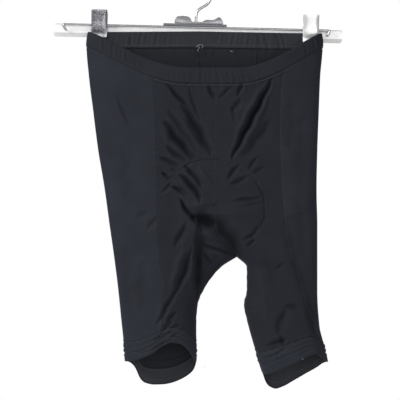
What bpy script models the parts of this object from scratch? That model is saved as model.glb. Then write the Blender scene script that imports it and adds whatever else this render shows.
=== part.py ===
"""Cycling shorts hanging by the back of the waistband from a clip hanger.

The garment is cut as the real one: two front panels, two side panels, two back panels, an
elastic waistband, a hem and a gripper tape on each leg, and a seat pad inside the crotch.
Every cloth piece is read from one surface for each half of the garment, so that neighbours
meet along their seams. Left and right are those of someone looking at the front.

Tables are in millimetres. x runs to the right, y away from the viewer and z up, all from the
inside of the hook's crown, where the hanger hangs on its rail.
"""

import math

import bmesh
import bpy
import numpy as np
from mathutils import Matrix, Vector

MM = 0.001

# Places down the garment, measured along its side from the waist's top edge
WAIST_SEAM = 21.0
LEG_START = 180.0
CROTCH_START = 268.0
CROTCH = 312.0
HEM_SEAM = 437.0
HEM_EDGE = 462.0
GRIPPER_TOP = 444.5
GRIPPER_EDGE = 460.5

# Cloth
SEAM_GAP = 0.3
PANEL_WALL = 1.2
WAISTBAND_WALL = 2.4
HEM_WALL = 2.0
GRIPPER_WALL = 1.0
BAND_LIFT = 0.5
HANG_Y = -12.0
NORMAL_STEP = 1.5

# Seat pad: how far it rises from the crotch along each wall, and its foam
PAD_UP_FRONT = 146.0
PAD_UP_BACK = 140.0
PAD_WALL = 4.5
PAD_CLEARANCE = 2.0
PAD_CROTCH_CLEARANCE = 2.6
PAD_NEARBY = 12.0

# Hanger, in its own level frame before it is tilted
HANGER_TILT = math.radians(1.4)
BAR_CENTRE = 3.0
BAR_LENGTH = 406.0
BAR_TOP = -66.0
BAR_HEIGHT = 18.0
BAR_THICKNESS = 8.0
BAR_BEVEL = 5.5
WIRE_RADIUS = 1.5
WIRE_HEIGHT = -67.7
WIRE_ENDS = (-187.0, 189.0)
HOOK_WIRE_RADIUS = 1.9
HOOK_INNER_RADIUS = 19.0
HOOK_NECK = -47.0
FIT = 0.3
PLATE_ENDS = (-46.0, 43.5)
PLATE_HEIGHT = 3.8
PLATE_DEPTH = 7.0
BRACKET_DEPTH = 5.0
CLIP_CENTRES = {"left": -135.5, "right": 161.5}
CLIP_SHEET = 0.9
CLIP_HALF_FACE = 7.6
CLIP_HALF_WIDTH = 11.0
SPRING_RADIUS = 3.1
SPRING_LENGTH = 11.0

# A clip plate from its handle's top to its gripping tip: height over the wire, how far it stands
# from the wire's plane, and how far its rims are bent back
JAW_COLUMNS = ("height", "out", "rim")
JAW_ROWS = (
    (21.0, 9.0, 1.2),
    (19.5, 9.2, 2.2),
    (8.0, 6.2, 2.8),
    (0.0, 5.4, 3.0),
    (-5.5, 4.6, 1.9),
    (-10.0, 2.8, 0.5),
    (-12.5, 2.3, 0.0),
    (-17.5, 2.3, 0.0),
)

# The bracket's outline over the plate, from left to right
BRACKET_COLUMNS = ("x", "z")
BRACKET_OUTLINE = (
    (-30.0, -61.3),
    (-30.0, -55.5),
    (-27.0, -51.8),
    (-19.0, -50.8),
    (-11.0, -51.6),
    (-7.5, -54.6),
    (-6.0, -58.8),
    (9.0, -58.8),
    (12.0, -56.6),
    (15.0, -55.6),
    (24.0, -55.8),
    (28.0, -54.0),
    (31.0, -51.6),
    (34.5, -52.2),
    (37.0, -56.0),
    (38.5, -61.3),
)

LEFT, RIGHT = "left", "right"
FRONT, BACK = -1, 1

# The side folds, which are the garment's outline from the front
SIDE_COLUMNS = ("down", "left_x", "left_z", "right_x", "right_z")
SIDE_FOLDS = (
    (0, -153, -75, 175, -77),
    (21, -155, -96, 176, -98),
    (60, -152, -135, 173, -137),
    (110, -146, -184, 171, -187),
    (165, -139, -239, 169, -242),
    (220, -130, -293, 168, -296),
    (270, -123, -344, 169, -347),
    (312, -117, -386, 169, -389),
    (360, -111, -433, 169, -438),
    (410, -106, -482, 172, -487),
    (437, -103, -510, 178, -512),
    (462, -101, -536, 183.5, -537),
)

# The centre seams, from the waist to the crotch point where four panels meet
RISE_COLUMNS = ("down", "front_x", "front_z", "back_x", "back_z")
RISE_SEAMS = (
    (0, 25, -127, 3, -74),
    (21, 25, -148, 3, -95),
    (60, 25, -180, 3, -137),
    (110, 25, -219, 4, -188),
    (165, 24, -258, 7, -244),
    (220, 22, -299, 14, -303),
    (270, 26, -346, 30, -353),
    (312, 56, -390, 56, -390),
)

# The inseams, from the crotch point to the hems
INSEAM_COLUMNS = ("down", "left_x", "left_z", "right_x", "right_z")
INSEAMS = (
    (312, 56, -390, 56, -390),
    (330, 33, -405, 70, -405),
    (360, 10, -435, 70, -436),
    (385, 1, -457, 66, -457),
    (410, -1, -482, 71, -482),
    (437, -1, -511, 83, -524),
    (462, -1, -536, 93, -554),
)

# How far each wall stands off the side folds' plane, and how full its section is
DEPTH_COLUMNS = ("down", "front", "back", "fullness")
DEPTHS = (
    (0, 27, 0.4, 3.2),
    (21, 26, 0.8, 3.1),
    (60, 24, 6, 2.9),
    (110, 23, 12, 2.7),
    (165, 24, 17, 2.6),
    (220, 25, 21, 2.5),
    (270, 26, 24, 2.4),
    (312, 27, 26, 2.3),
    (360, 27, 27, 2.2),
    (410, 28, 28, 2.2),
    (462, 29, 29, 2.2),
)

# The seat's cut leaves each hem short in front and long behind. How far each hem's edge lies above
# the straight line from inseam to side, across the leg, and how much of that reaches up the leg
HEM_COLUMNS = ("across", "left_front", "left_back", "right_front", "right_back")
HEM_SHAPES = (
    (0.00, 0, 0, 0, 0),
    (0.02, 3, -8, 0, -6),
    (0.05, 8, -15, 0, -14),
    (0.11, 17, -21, 1, -22),
    (0.22, 26, -28, 3.5, -27),
    (0.34, 28, -33, 6.5, -25.5),
    (0.46, 24, -35.5, 9.5, -21.5),
    (0.60, 14, -36, 13.5, -16.5),
    (0.72, 8, -33.5, 16.5, -12),
    (0.79, 5, -28, 17, -9.5),
    (0.87, 3, -11, 12, -6),
    (0.93, 1.5, -4, 6, -2.5),
    (1.00, 0, 0, 0, 0),
)
LIFT_COLUMNS = ("down", "share")
HEM_LIFTS = (
    (330, 0),
    (385, 0.13),
    (437, 0.80),
    (462, 1),
)

# Where the panels' seams lie, as shares of each wall from its centre seam or inseam to the side
SEAM_COLUMNS = ("down", "left_front", "left_back", "right_front", "right_back")
PANEL_SEAMS = (
    (0, 0.43, 0.60, 0.56, 0.47),
    (110, 0.45, 0.58, 0.58, 0.45),
    (220, 0.49, 0.56, 0.63, 0.43),
    (270, 0.53, 0.56, 0.65, 0.44),
    (312, 0.60, 0.58, 0.64, 0.48),
    (360, 0.46, 0.52, 0.72, 0.50),
    (410, 0.47, 0.50, 0.84, 0.50),
    (462, 0.53, 0.50, 0.88, 0.50),
)

# Main folds: a soft trough (depth below 0) or ridge from one point to another, seen from the front
FOLD_COLUMNS = ("x0", "z0", "x1", "z1", "bow", "width", "depth")
FRONT_FOLDS = (
    (108, -144, 50, -252, 4, 12.0, -8.5),
    (-48, -144, 14, -250, -4, 11.5, -7.0),
    (-38, -204, 2, -250, -2, 11.0, -5.0),
    (-50, -240, -12, -262, -2, 9.0, -4.5),
    (62, -148, 50, -205, 3, 9.0, -3.0),
    (-22, -262, 4, -316, -7, 9.0, -6.5),
    (-10, -308, 24, -314, 3, 10.0, 4.0),
    (-32, -306, 60, -388, 2, 10.0, -8.0),
    (46, -302, 92, -290, 2, 9.5, -3.0),
    (56, -374, 84, -346, 2, 9.5, -3.0),
    (-4, -392, -56, -482, -4, 9.5, -7.0),
    (108, -492, 142, -468, -9, 9.5, -4.0),
    (-90, -380, -56, -344, 0, 9.0, -2.5),
    (-114, -160, -92, -216, 2, 9.5, -2.5),
)
BACK_FOLDS = (
    (-70, -150, -20, -262, 4, 11.0, -5.0),
    (96, -150, 44, -270, -4, 11.0, -5.5),
    (-30, -160, 4, -240, 3, 10.0, -3.0),
    (-50, -290, 16, -318, 6, 11.0, -4.5),
    (110, -286, 52, -322, -6, 11.0, -5.0),
    (-40, -330, 30, -352, 5, 10.0, -4.0),
    (-70, -330, -44, -420, -4, 11.0, -4.0),
    (-20, -400, -60, -490, 4, 10.0, -4.0),
    (140, -350, 118, -440, 4, 10.0, -4.0),
    (86, -410, 130, -500, -5, 10.0, -4.0),
)

# Tucks: the cloth steps in past a line and comes back out further on. The recessed side is on
# the right of the line, going from its first point to its second
TUCK_COLUMNS = ("x0", "z0", "x1", "z1", "bow", "width", "reach", "depth")
FRONT_TUCKS = (
    (0, -456, 3, -330, -3, 8.0, 40, -11.0),
    (166, -478, 122, -334, -5, 9.0, 34, -6.0),
)

# Where the seat pad lifts the cloth: centre, half sizes, bulge and the pull of its stitched edge
PAD_RELIEF_COLUMNS = ("x", "z", "half_x", "half_z", "bulge", "edge")
FRONT_PAD_RELIEF = (37, -318, 58, 64, 4.5, -2.0)
BACK_PAD_RELIEF = (38, -322, 64, 60, 3.5, -1.5)
PAD_EDGE_WIDTH = 8.0

# The seat pad's outline: how far it reaches each side of the centre seams, from its front top
# (0) round under the crotch to its back top (1)
PAD_COLUMNS = ("round", "left", "right")
PAD_OUTLINE = (
    (0.00, 13, 16),
    (0.05, 27, 37),
    (0.14, 38, 56),
    (0.26, 42, 66),
    (0.38, 34, 50),
    (0.50, 26, 30),
    (0.62, 36, 40),
    (0.78, 54, 58),
    (0.90, 54, 56),
    (0.96, 40, 42),
    (1.00, 20, 20),
)

# Cloth colours, linear
COLOURS = {
    "lycra": ((0.022, 0.023, 0.030), 0.55, 0.0),
    "waist_elastic": ((0.024, 0.024, 0.029), 0.65, 0.0),
    "gripper": ((0.060, 0.062, 0.068), 0.70, 0.0),
    "pad_cloth": ((0.045, 0.046, 0.052), 0.85, 0.0),
    "bar_finish": ((0.78, 0.78, 0.79), 0.22, 0.6),
    "chrome": ((0.62, 0.62, 0.64), 0.14, 1.0),
    "dark_steel": ((0.17, 0.17, 0.18), 0.35, 1.0),
}


class Track:
    """A short table read as smooth curves against its first column."""

    def __init__(self, columns, rows):
        self.columns = columns
        self.table = np.array(rows, float)

    def at(self, column, place):
        known = self.table[:, 0]
        values = self.table[:, self.columns.index(column)]
        steps = np.diff(known)
        slopes = np.diff(values) / steps
        tangents = np.empty_like(values)
        tangents[0], tangents[-1] = slopes[0], slopes[-1]
        turning = slopes[:-1] * slopes[1:] <= 0
        total = np.where(turning, 1.0, slopes[:-1] + slopes[1:])
        tangents[1:-1] = np.where(turning, 0.0, 2 * slopes[:-1] * slopes[1:] / total)
        row = np.clip(np.searchsorted(known, place, side="right") - 1, 0, len(steps) - 1)
        t = (place - known[row]) / steps[row]
        rise = 3 * t**2 - 2 * t**3
        return (
            values[row] * (1 - rise)
            + values[row + 1] * rise
            + steps[row] * tangents[row] * (t - 2 * t**2 + t**3)
            + steps[row] * tangents[row + 1] * (t**3 - t**2)
        )


SIDES = Track(SIDE_COLUMNS, SIDE_FOLDS)
RISES = Track(RISE_COLUMNS, RISE_SEAMS)
LEGS = Track(INSEAM_COLUMNS, INSEAMS)
WALLS = Track(DEPTH_COLUMNS, DEPTHS)
HEMS = Track(HEM_COLUMNS, HEM_SHAPES)
LIFTS = Track(LIFT_COLUMNS, HEM_LIFTS)
SEAMS = Track(SEAM_COLUMNS, PANEL_SEAMS)


def inner_edge(half, down, wall):
    """The centre seam above the crotch, and the inseam below it."""
    if down < CROTCH:
        name = "front" if wall == FRONT else "back"
        return RISES.at(name + "_x", down), RISES.at(name + "_z", down)
    return LEGS.at(half + "_x", down), LEGS.at(half + "_z", down)


def eased(share):
    share = np.clip(share, 0, 1)
    return 3 * share**2 - 2 * share**3


def joined(down, shares):
    """0 where the wall is half of the seat, 1 where it is half of a leg tube. At the centre the
    seat closes round the crotch in a short rounded curve, and further out it eases over."""
    closing = min(max((down - CROTCH_START) / (CROTCH - CROTCH_START), 0.0), 1.0)
    easing = eased((down - LEG_START) / (CROTCH - LEG_START))
    near_seam = 1 - eased((shares - 0.15) / 0.5)
    return near_seam * (1 - math.sqrt(1 - closing**2)) + (1 - near_seam) * easing


def power_of(base, exponent):
    return np.sign(base) * np.abs(base) ** exponent


def evenly(curve, shares):
    """Points at these shares of a curve's length."""
    along = np.concatenate([[0], np.cumsum(np.linalg.norm(np.diff(curve, axis=0), axis=1))])
    return np.stack([np.interp(shares * along[-1], along, curve[:, i]) for i in range(3)], axis=1)


def wall_points(half, down, wall, shares, dense=81):
    """Points across one wall at one level, from its inner edge (0) to the side fold (1)."""
    inner_x, inner_z = inner_edge(half, down, wall)
    side_x, side_z = SIDES.at(half + "_x", down), SIDES.at(half + "_z", down)
    depth = WALLS.at("front" if wall == FRONT else "back", down)
    power = 2 / WALLS.at("fullness", down)
    leg_share = joined(down, shares)[:, None]
    points = np.zeros((len(shares), 3))
    if down < CROTCH:
        turn = np.linspace(0, math.pi / 2, dense)
        x = inner_x + (side_x - inner_x) * power_of(np.sin(turn), power)
        y = wall * depth * power_of(np.cos(turn), power)
        off_side = (side_x - x) / (side_x - inner_x)
        droop = off_side
        if wall == FRONT:
            droop = np.sin(math.pi / 2 * np.clip(1.25 * off_side, 0, 1)) ** 1.2
        z = side_z + (inner_z - side_z) * droop
        points += (1 - leg_share) * evenly(np.stack([x, y, z], axis=1), shares)
    if down > LEG_START:
        turn = np.linspace(0, math.pi, dense)
        x = inner_x + (side_x - inner_x) * (1 - power_of(np.cos(turn), power)) / 2
        y = wall * depth * power_of(np.sin(turn), power)
        off_inner = np.clip((x - inner_x) / (side_x - inner_x), 0, 1)
        shape = HEMS.at(f"{half}_{'front' if wall == FRONT else 'back'}", off_inner)
        lift = LIFTS.at("share", max(down, 330)) * shape
        z = inner_z + (side_z - inner_z) * off_inner + lift
        points += leg_share * evenly(np.stack([x, y, z], axis=1), shares)
    return points


def off_line(row, x, z):
    """How far a point is off a fold's line, to its right, and the fold's strength there."""
    run, rise = row["x1"] - row["x0"], row["z1"] - row["z0"]
    length = math.hypot(run, rise)
    along = ((x - row["x0"]) * run + (z - row["z0"]) * rise) / length**2
    off = ((x - row["x0"]) * rise - (z - row["z0"]) * run) / length
    inside = np.clip(along, 0, 1)
    off = off - row["bow"] * 4 * inside * (1 - inside)
    return off, np.abs(np.sin(math.pi * inside))


def rows_of(columns, table):
    return [dict(zip(columns, row)) for row in table]


def pad_relief(row, x, z):
    reach = np.hypot((x - row["x"]) / row["half_x"], (z - row["z"]) / row["half_z"])
    dome = row["bulge"] * np.clip(1 - reach**2, 0, 1) ** 0.8
    off_edge = (reach - 1) * (row["half_x"] + row["half_z"]) / 2
    return dome + row["edge"] * np.exp(-((off_edge / PAD_EDGE_WIDTH) ** 2))


def relief(wall, x, z):
    """How far the folds push a wall outwards at points seen from the front."""
    pad = FRONT_PAD_RELIEF if wall == FRONT else BACK_PAD_RELIEF
    out = pad_relief(dict(zip(PAD_RELIEF_COLUMNS, pad)), x, z)
    for row in rows_of(FOLD_COLUMNS, FRONT_FOLDS if wall == FRONT else BACK_FOLDS):
        off, taper = off_line(row, x, z)
        across = off / row["width"]
        lips = np.exp(-((np.abs(across) - 1.9) ** 2))
        out = out + row["depth"] * taper**0.7 * (np.exp(-(across**2)) - 0.3 * lips)
    for row in rows_of(TUCK_COLUMNS, FRONT_TUCKS if wall == FRONT else ()):
        off, taper = off_line(row, x, z)
        step = 1 / (1 + np.exp(-np.clip(off / row["width"] * 2, -30, 30)))
        fade = np.exp(-np.maximum(off, 0) / row["reach"])
        out = out + row["depth"] * taper**0.5 * step * fade
    return out


def level(half, down, around, folds=True):
    """Points of one half at one level. around is 0 at the front's inner edge, 0.5 at the side
    fold and 1 at the back's inner edge. Past either end it goes on over the seam."""
    around = np.asarray(around, float)
    points = np.zeros((len(around), 3))
    over = (around < 0) | (around > 1)
    if over.any():
        beyond = around[over]
        if down < CROTCH:
            mirrored = np.where(beyond < 0, -beyond, 2 - beyond)
            points[over] = level(RIGHT if half == LEFT else LEFT, down, mirrored, folds)
        else:
            points[over] = level(half, down, beyond % 1.0, folds)
    for wall in (FRONT, BACK):
        here = ~over & ((around <= 0.5) if wall == FRONT else (around > 0.5))
        if not here.any():
            continue
        shares = 2 * around[here] if wall == FRONT else 2 * (1 - around[here])
        flat = wall_points(half, down, wall, shares)
        if folds:
            depth = max(WALLS.at("front" if wall == FRONT else "back", down), 6.0)
            facing = np.clip(np.abs(flat[:, 1]) / (0.75 * depth), 0, 1) ** 1.5
            below_band = min(max((down - 14) / 22, 0.0), 1.0)
            push = relief(wall, flat[:, 0], flat[:, 2]) * facing * below_band
            flat[:, 1] += wall * push
        points[here] = flat
    return points


def outward(half, down, around, folds=True):
    """The cloth's outward direction at the same places, found from the points around them."""
    around = np.asarray(around, float)
    girth_step = NORMAL_STEP / 260
    after = level(half, down, around + girth_step, folds)
    across = after - level(half, down, around - girth_step, folds)
    below = down + NORMAL_STEP
    above = down - NORMAL_STEP
    if down >= CROTCH > above:
        above = down
    if down < CROTCH <= below:
        below = down
    along = level(half, below, around, folds) - level(half, above, around, folds)
    normal = np.cross(across, along)
    if half == RIGHT:
        normal = -normal
    return normal / np.linalg.norm(normal, axis=1)[:, None]


def material(name):
    """A plain finish of the piece's own colour."""
    found = bpy.data.materials.get(name)
    if found:
        return found
    colour, roughness, metallic = COLOURS[name]
    made = bpy.data.materials.new(name)
    made.use_nodes = True
    shader = made.node_tree.nodes["Principled BSDF"]
    shader.inputs["Base Color"].default_value = (*colour, 1)
    shader.inputs["Roughness"].default_value = roughness
    shader.inputs["Metallic"].default_value = metallic
    return made


def add_object(name, mesh, finish, collection):
    made = bpy.data.objects.new(name, mesh)
    made.data.materials.append(material(finish))
    collection.objects.link(made)
    return made


def cloth_solid(name, outer, inner, ring, finish, collection):
    """A closed wall between two grids of points, in rows down the garment. In a ring the last
    point of a row meets its first."""
    rows, columns = outer.shape[:2]
    build = bmesh.new()
    layers = [
        [[build.verts.new(point * MM) for point in row] for row in layer] for layer in (outer, inner)
    ]
    spans = columns if ring else columns - 1

    def quad(a, b, c, d):
        build.faces.new((a, b, c))
        build.faces.new((a, c, d))

    for layer in layers:
        for i in range(rows - 1):
            for j in range(spans):
                k = (j + 1) % columns
                quad(layer[i][j], layer[i][k], layer[i + 1][k], layer[i + 1][j])
    for i in (0, rows - 1):
        for j in range(spans):
            k = (j + 1) % columns
            quad(layers[0][i][j], layers[0][i][k], layers[1][i][k], layers[1][i][j])
    if not ring:
        for j in (0, columns - 1):
            for i in range(rows - 1):
                quad(layers[0][i][j], layers[0][i + 1][j], layers[1][i + 1][j], layers[1][i][j])
    bmesh.ops.recalc_face_normals(build, faces=build.faces)
    mesh = bpy.data.meshes.new(name)
    build.to_mesh(mesh)
    build.free()
    mesh.shade_smooth()
    mesh.set_sharp_from_angle(angle=math.radians(50))
    return add_object(name, mesh, finish, collection)


def cloth_rows(places, down, lift, thickness):
    """The outer and inner points of one row: places are (half, around) stretches, in order."""
    outer, inner = [], []
    for half, around in places:
        points = level(half, down, around)
        normal = outward(half, down, around)
        outer.append(points + normal * lift)
        inner.append(points + normal * (lift - thickness))
    offset = np.array([0, HANG_Y, 0])
    return np.concatenate(outer) + offset, np.concatenate(inner) + offset


def cloth_piece(name, levels, places_at, finish, collection, lift=0.0, thickness=PANEL_WALL, ring=False):
    """One cut piece: places_at(down) gives its (half, around) stretches at each level."""
    rows = [cloth_rows(places_at(down), down, lift, thickness) for down in levels]
    outer = np.stack([row[0] for row in rows])
    inner = np.stack([row[1] for row in rows])
    return cloth_solid(name, outer, inner, ring, finish, collection)


def spread(start, end, steps):
    return np.linspace(start, end, steps + 1)


def half_gap(half, down):
    """Half of the seam gap, as a share of the way round a half."""
    reach = abs(SIDES.at(half + "_x", down) - inner_edge(half, down, FRONT)[0])
    return SEAM_GAP / 2 / (2 * reach + 30)


def seam_place(half, down, wall):
    """Where a panel's seam lies, on the scale of around."""
    share = SEAMS.at(f"{half}_{'front' if wall == FRONT else 'back'}", down)
    return share / 2 if wall == FRONT else 1 - share / 2


FRONT_STEPS, SIDE_FRONT_STEPS, SIDE_BACK_STEPS, BACK_STEPS = 11, 4, 4, 7


def front_places(half):
    def at(down):
        gap = half_gap(half, down)
        return [(half, spread(gap, seam_place(half, down, FRONT) - gap, FRONT_STEPS))]

    return at


def side_places(half):
    def at(down):
        gap = half_gap(half, down)
        to_fold = spread(seam_place(half, down, FRONT) + gap, 0.5, SIDE_FRONT_STEPS)
        from_fold = spread(0.5, seam_place(half, down, BACK) - gap, SIDE_BACK_STEPS)
        return [(half, np.concatenate([to_fold, from_fold[1:]]))]

    return at


def back_places(half):
    def at(down):
        gap = half_gap(half, down)
        return [(half, spread(seam_place(half, down, BACK) + gap, 1 - gap, BACK_STEPS))]

    return at


def half_round(half, down):
    """All the panels' places round a half, seams included, so that bands meet the panels."""
    stops = (0, seam_place(half, down, FRONT), 0.5, seam_place(half, down, BACK), 1)
    steps = (FRONT_STEPS, SIDE_FRONT_STEPS, SIDE_BACK_STEPS, BACK_STEPS)
    parts = [spread(a, b, n)[:-1] for a, b, n in zip(stops[:-1], stops[1:], steps)]
    return np.concatenate(parts)


def waist_places(down):
    left = half_round(LEFT, down)
    right = np.concatenate([half_round(RIGHT, down)[1:], [1.0]])[::-1]
    return [(LEFT, left), (RIGHT, right)]


def leg_places(half):
    return lambda down: [(half, half_round(half, down))]


def panel_levels():
    """Levels of the panels' rows: close over the seat, wider down the legs."""
    seat = spread(WAIST_SEAM + SEAM_GAP / 2, CROTCH_START, 22)
    crotch = CROTCH_START + (CROTCH - CROTCH_START) * np.sin(spread(0, math.pi / 2, 5))[1:]
    leg = spread(CROTCH, HEM_SEAM - SEAM_GAP / 2, 9)[1:]
    return np.concatenate([seat, crotch, leg])


def build_panels(collection):
    levels = panel_levels()
    for half in (LEFT, RIGHT):
        cloth_piece(f"front_panel_{half}", levels, front_places(half), "lycra", collection)
        cloth_piece(f"side_panel_{half}", levels, side_places(half), "lycra", collection)
        cloth_piece(f"back_panel_{half}", levels, back_places(half), "lycra", collection)


def build_bands(collection):
    """The waistband, and each leg's hem with the gripper tape inside it."""
    cloth_piece(
        "waistband",
        spread(0, WAIST_SEAM - SEAM_GAP / 2, 2),
        waist_places,
        "waist_elastic",
        collection,
        lift=BAND_LIFT,
        thickness=WAISTBAND_WALL,
        ring=True,
    )
    tape = spread(GRIPPER_TOP, GRIPPER_EDGE, 2)
    for half in (LEFT, RIGHT):
        cloth_piece(
            f"hem_{half}",
            [HEM_SEAM + SEAM_GAP / 2, *tape, HEM_EDGE],
            leg_places(half),
            "lycra",
            collection,
            lift=BAND_LIFT,
            thickness=HEM_WALL,
            ring=True,
        )
        cloth_piece(
            f"leg_gripper_{half}",
            tape,
            leg_places(half),
            "gripper",
            collection,
            lift=BAND_LIFT - HEM_WALL - SEAM_GAP,
            thickness=GRIPPER_WALL,
            ring=True,
        )


def wall_length(half, down, wall):
    curve = wall_points(half, down, wall, spread(0, 1, 40))
    return np.linalg.norm(np.diff(curve, axis=0), axis=1).sum()


def pad_place(reach, along):
    """Where a line of the pad, this far to one side of the centre seams, is after going a share
    of its way: down the front, in a quarter turn round the crotch, another up the back's side
    of it, and up the back. Gives the wall, the distance from its inner edge and the level."""
    turn = math.pi / 2 * reach
    way = along * (PAD_UP_FRONT + 2 * turn + PAD_UP_BACK)
    if way <= PAD_UP_FRONT:
        return FRONT, reach, CROTCH - PAD_UP_FRONT + way
    way -= PAD_UP_FRONT
    if way <= turn:
        return FRONT, reach * math.cos(way / reach), CROTCH + reach * math.sin(way / reach)
    way -= turn
    if way <= turn:
        return BACK, reach * math.sin(way / reach), CROTCH + reach * math.cos(way / reach)
    return BACK, reach, CROTCH - (way - turn)


def pad_point(half, reach, along):
    """A point of the unfolded cloth over the pad, the way out of it, and how far the folds
    near it press in."""
    wall, inwards, down = pad_place(reach, along)
    share = inwards / wall_length(half, down, wall)
    around = share / 2 if wall == FRONT else 1 - share / 2
    point = level(half, down, [around], False)[0]
    turns = np.radians(spread(0, 360, 12))
    x = point[0] + PAD_NEARBY * np.append(np.cos(turns), 0)
    z = point[2] + PAD_NEARBY * np.append(np.sin(turns), 0)
    pressed = max(0, -relief(wall, x, z).min())
    return point, outward(half, down, [around], False)[0], pressed


def build_pad(collection, rows=19, columns=9):
    outline = Track(PAD_COLUMNS, PAD_OUTLINE)
    outer = np.zeros((rows, columns, 3))
    inner = np.zeros((rows, columns, 3))
    for i, along in enumerate(spread(0, 1, rows - 1)):
        clearance = PAD_CLEARANCE + PAD_CROTCH_CLEARANCE * math.exp(-(((along - 0.5) / 0.14) ** 2))
        for j, side in enumerate(spread(-1, 1, columns - 1)):
            half = LEFT if side < 0 else RIGHT
            reach = abs(side) * outline.at(half, along)
            point, normal, pressed = pad_point(half, reach, along)
            if side == 0:
                normal = normal + pad_point(LEFT, 0, along)[1]
                normal /= np.linalg.norm(normal)
            depth = PANEL_WALL + clearance + pressed
            outer[i, j] = point - normal * depth
            inner[i, j] = point - normal * (depth + PAD_WALL)
    outer[..., 1] += HANG_Y
    inner[..., 1] += HANG_Y
    cloth_solid("seat_pad", outer, inner, False, "pad_cloth", collection)


def hang(x, y, z):
    """A point of the level hanger where the tilted hanger has it, in metres."""
    return Matrix.Rotation(HANGER_TILT, 4, "Y") @ Vector((x, y, z)) * MM


def mesh_object(name, points, faces, finish, collection):
    build = bmesh.new()
    corners = [build.verts.new(hang(*point)) for point in points]
    for face in faces:
        build.faces.new([corners[i] for i in face])
    bmesh.ops.recalc_face_normals(build, faces=build.faces)
    mesh = bpy.data.meshes.new(name)
    build.to_mesh(mesh)
    build.free()
    return add_object(name, mesh, finish, collection)


def extrusion(name, outline, axis, start, end, finish, collection):
    """A prism on an outline: of (y, z) points along axis 0, or of (x, z) points along axis 1."""
    points = []
    for place in (start, end):
        for a, b in outline:
            points.append((place, a, b) if axis == 0 else (a, place, b))
    count = len(outline)
    faces = [tuple(range(count)), tuple(range(count, 2 * count))]
    for i in range(count):
        k = (i + 1) % count
        faces.append((i, k, count + k, count + i))
    return mesh_object(name, points, faces, finish, collection)


def bevel(target, width, segments):
    edges = target.modifiers.new("bevel", "BEVEL")
    edges.width = width * MM
    edges.segments = segments
    edges.limit_method = "ANGLE"
    edges.angle_limit = math.radians(35)


def boolean(target, other, operation):
    cut = target.modifiers.new(operation.lower(), "BOOLEAN")
    cut.operation = operation
    cut.solver = "EXACT"
    cut.object = other


def hide(helper):
    helper.hide_render = True
    helper.display_type = "WIRE"


def rod(name, centre, axis, radius, length, sides, finish, collection):
    """A plain cylinder about a point, along x or z."""
    points, faces = [], []
    for end in (-length / 2, length / 2):
        for i in range(sides):
            turn = 2 * math.pi * (i + 0.5) / sides
            a, b = radius * math.cos(turn), radius * math.sin(turn)
            offset = (end, a, b) if axis == 0 else (a, b, end)
            points.append(tuple(c + d for c, d in zip(centre, offset)))
    for i in range(sides):
        k = (i + 1) % sides
        faces.append((i, k, sides + k, sides + i))
    faces += [tuple(range(sides)), tuple(range(sides, 2 * sides))]
    return mesh_object(name, points, faces, finish, collection)


def wire(name, path, radius, resolution, finish, collection):
    curve = bpy.data.curves.new(name, "CURVE")
    curve.dimensions = "3D"
    curve.bevel_depth = radius * MM
    curve.bevel_resolution = resolution
    curve.use_fill_caps = True
    line = curve.splines.new("POLY")
    line.points.add(len(path) - 1)
    for point, place in zip(line.points, path):
        point.co = (*hang(*place), 1)
    return add_object(name, curve, finish, collection)


def rounded_path(corners, radius, steps):
    """A path through these points with its corners turned on short curves."""
    path = [Vector(corners[0])]
    for before, corner, after in zip(corners[:-2], corners[1:-1], corners[2:]):
        corner = Vector(corner)
        start = corner + (Vector(before) - corner).normalized() * radius
        end = corner + (Vector(after) - corner).normalized() * radius
        for i in range(steps + 1):
            t = i / steps
            path.append(start * (1 - t) ** 2 + corner * 2 * t * (1 - t) + end * t**2)
    path.append(Vector(corners[-1]))
    return [tuple(point) for point in path]


def build_bar(collection):
    half, bottom = BAR_THICKNESS / 2, BAR_TOP - BAR_HEIGHT
    section = [
        (-half + 1.4, BAR_TOP),
        (half - 1.4, BAR_TOP),
        (half, BAR_TOP - 1.4),
        (half, bottom + BAR_BEVEL),
        (1.3, bottom),
        (-1.3, bottom),
        (-half, bottom + BAR_BEVEL),
        (-half, BAR_TOP - 1.4),
    ]
    left, right = BAR_CENTRE - BAR_LENGTH / 2, BAR_CENTRE + BAR_LENGTH / 2
    bar = extrusion("hanger_bar", section, 0, left, right, "bar_finish", collection)
    bevel(bar, 1.3, 2)


def build_wire(collection):
    left, right = WIRE_ENDS
    face = -BAR_THICKNESS / 2 - FIT
    corners = [
        (left + 4, face, WIRE_HEIGHT - 7),
        (left + 4, HANG_Y, WIRE_HEIGHT - 7),
        (left, HANG_Y, WIRE_HEIGHT),
        (right, HANG_Y, WIRE_HEIGHT),
        (right - 4, HANG_Y, WIRE_HEIGHT - 7),
        (right - 4, face, WIRE_HEIGHT - 7),
    ]
    wire("clip_wire", rounded_path(corners, 2.4, 3), WIRE_RADIUS, 2, "chrome", collection)


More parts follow.
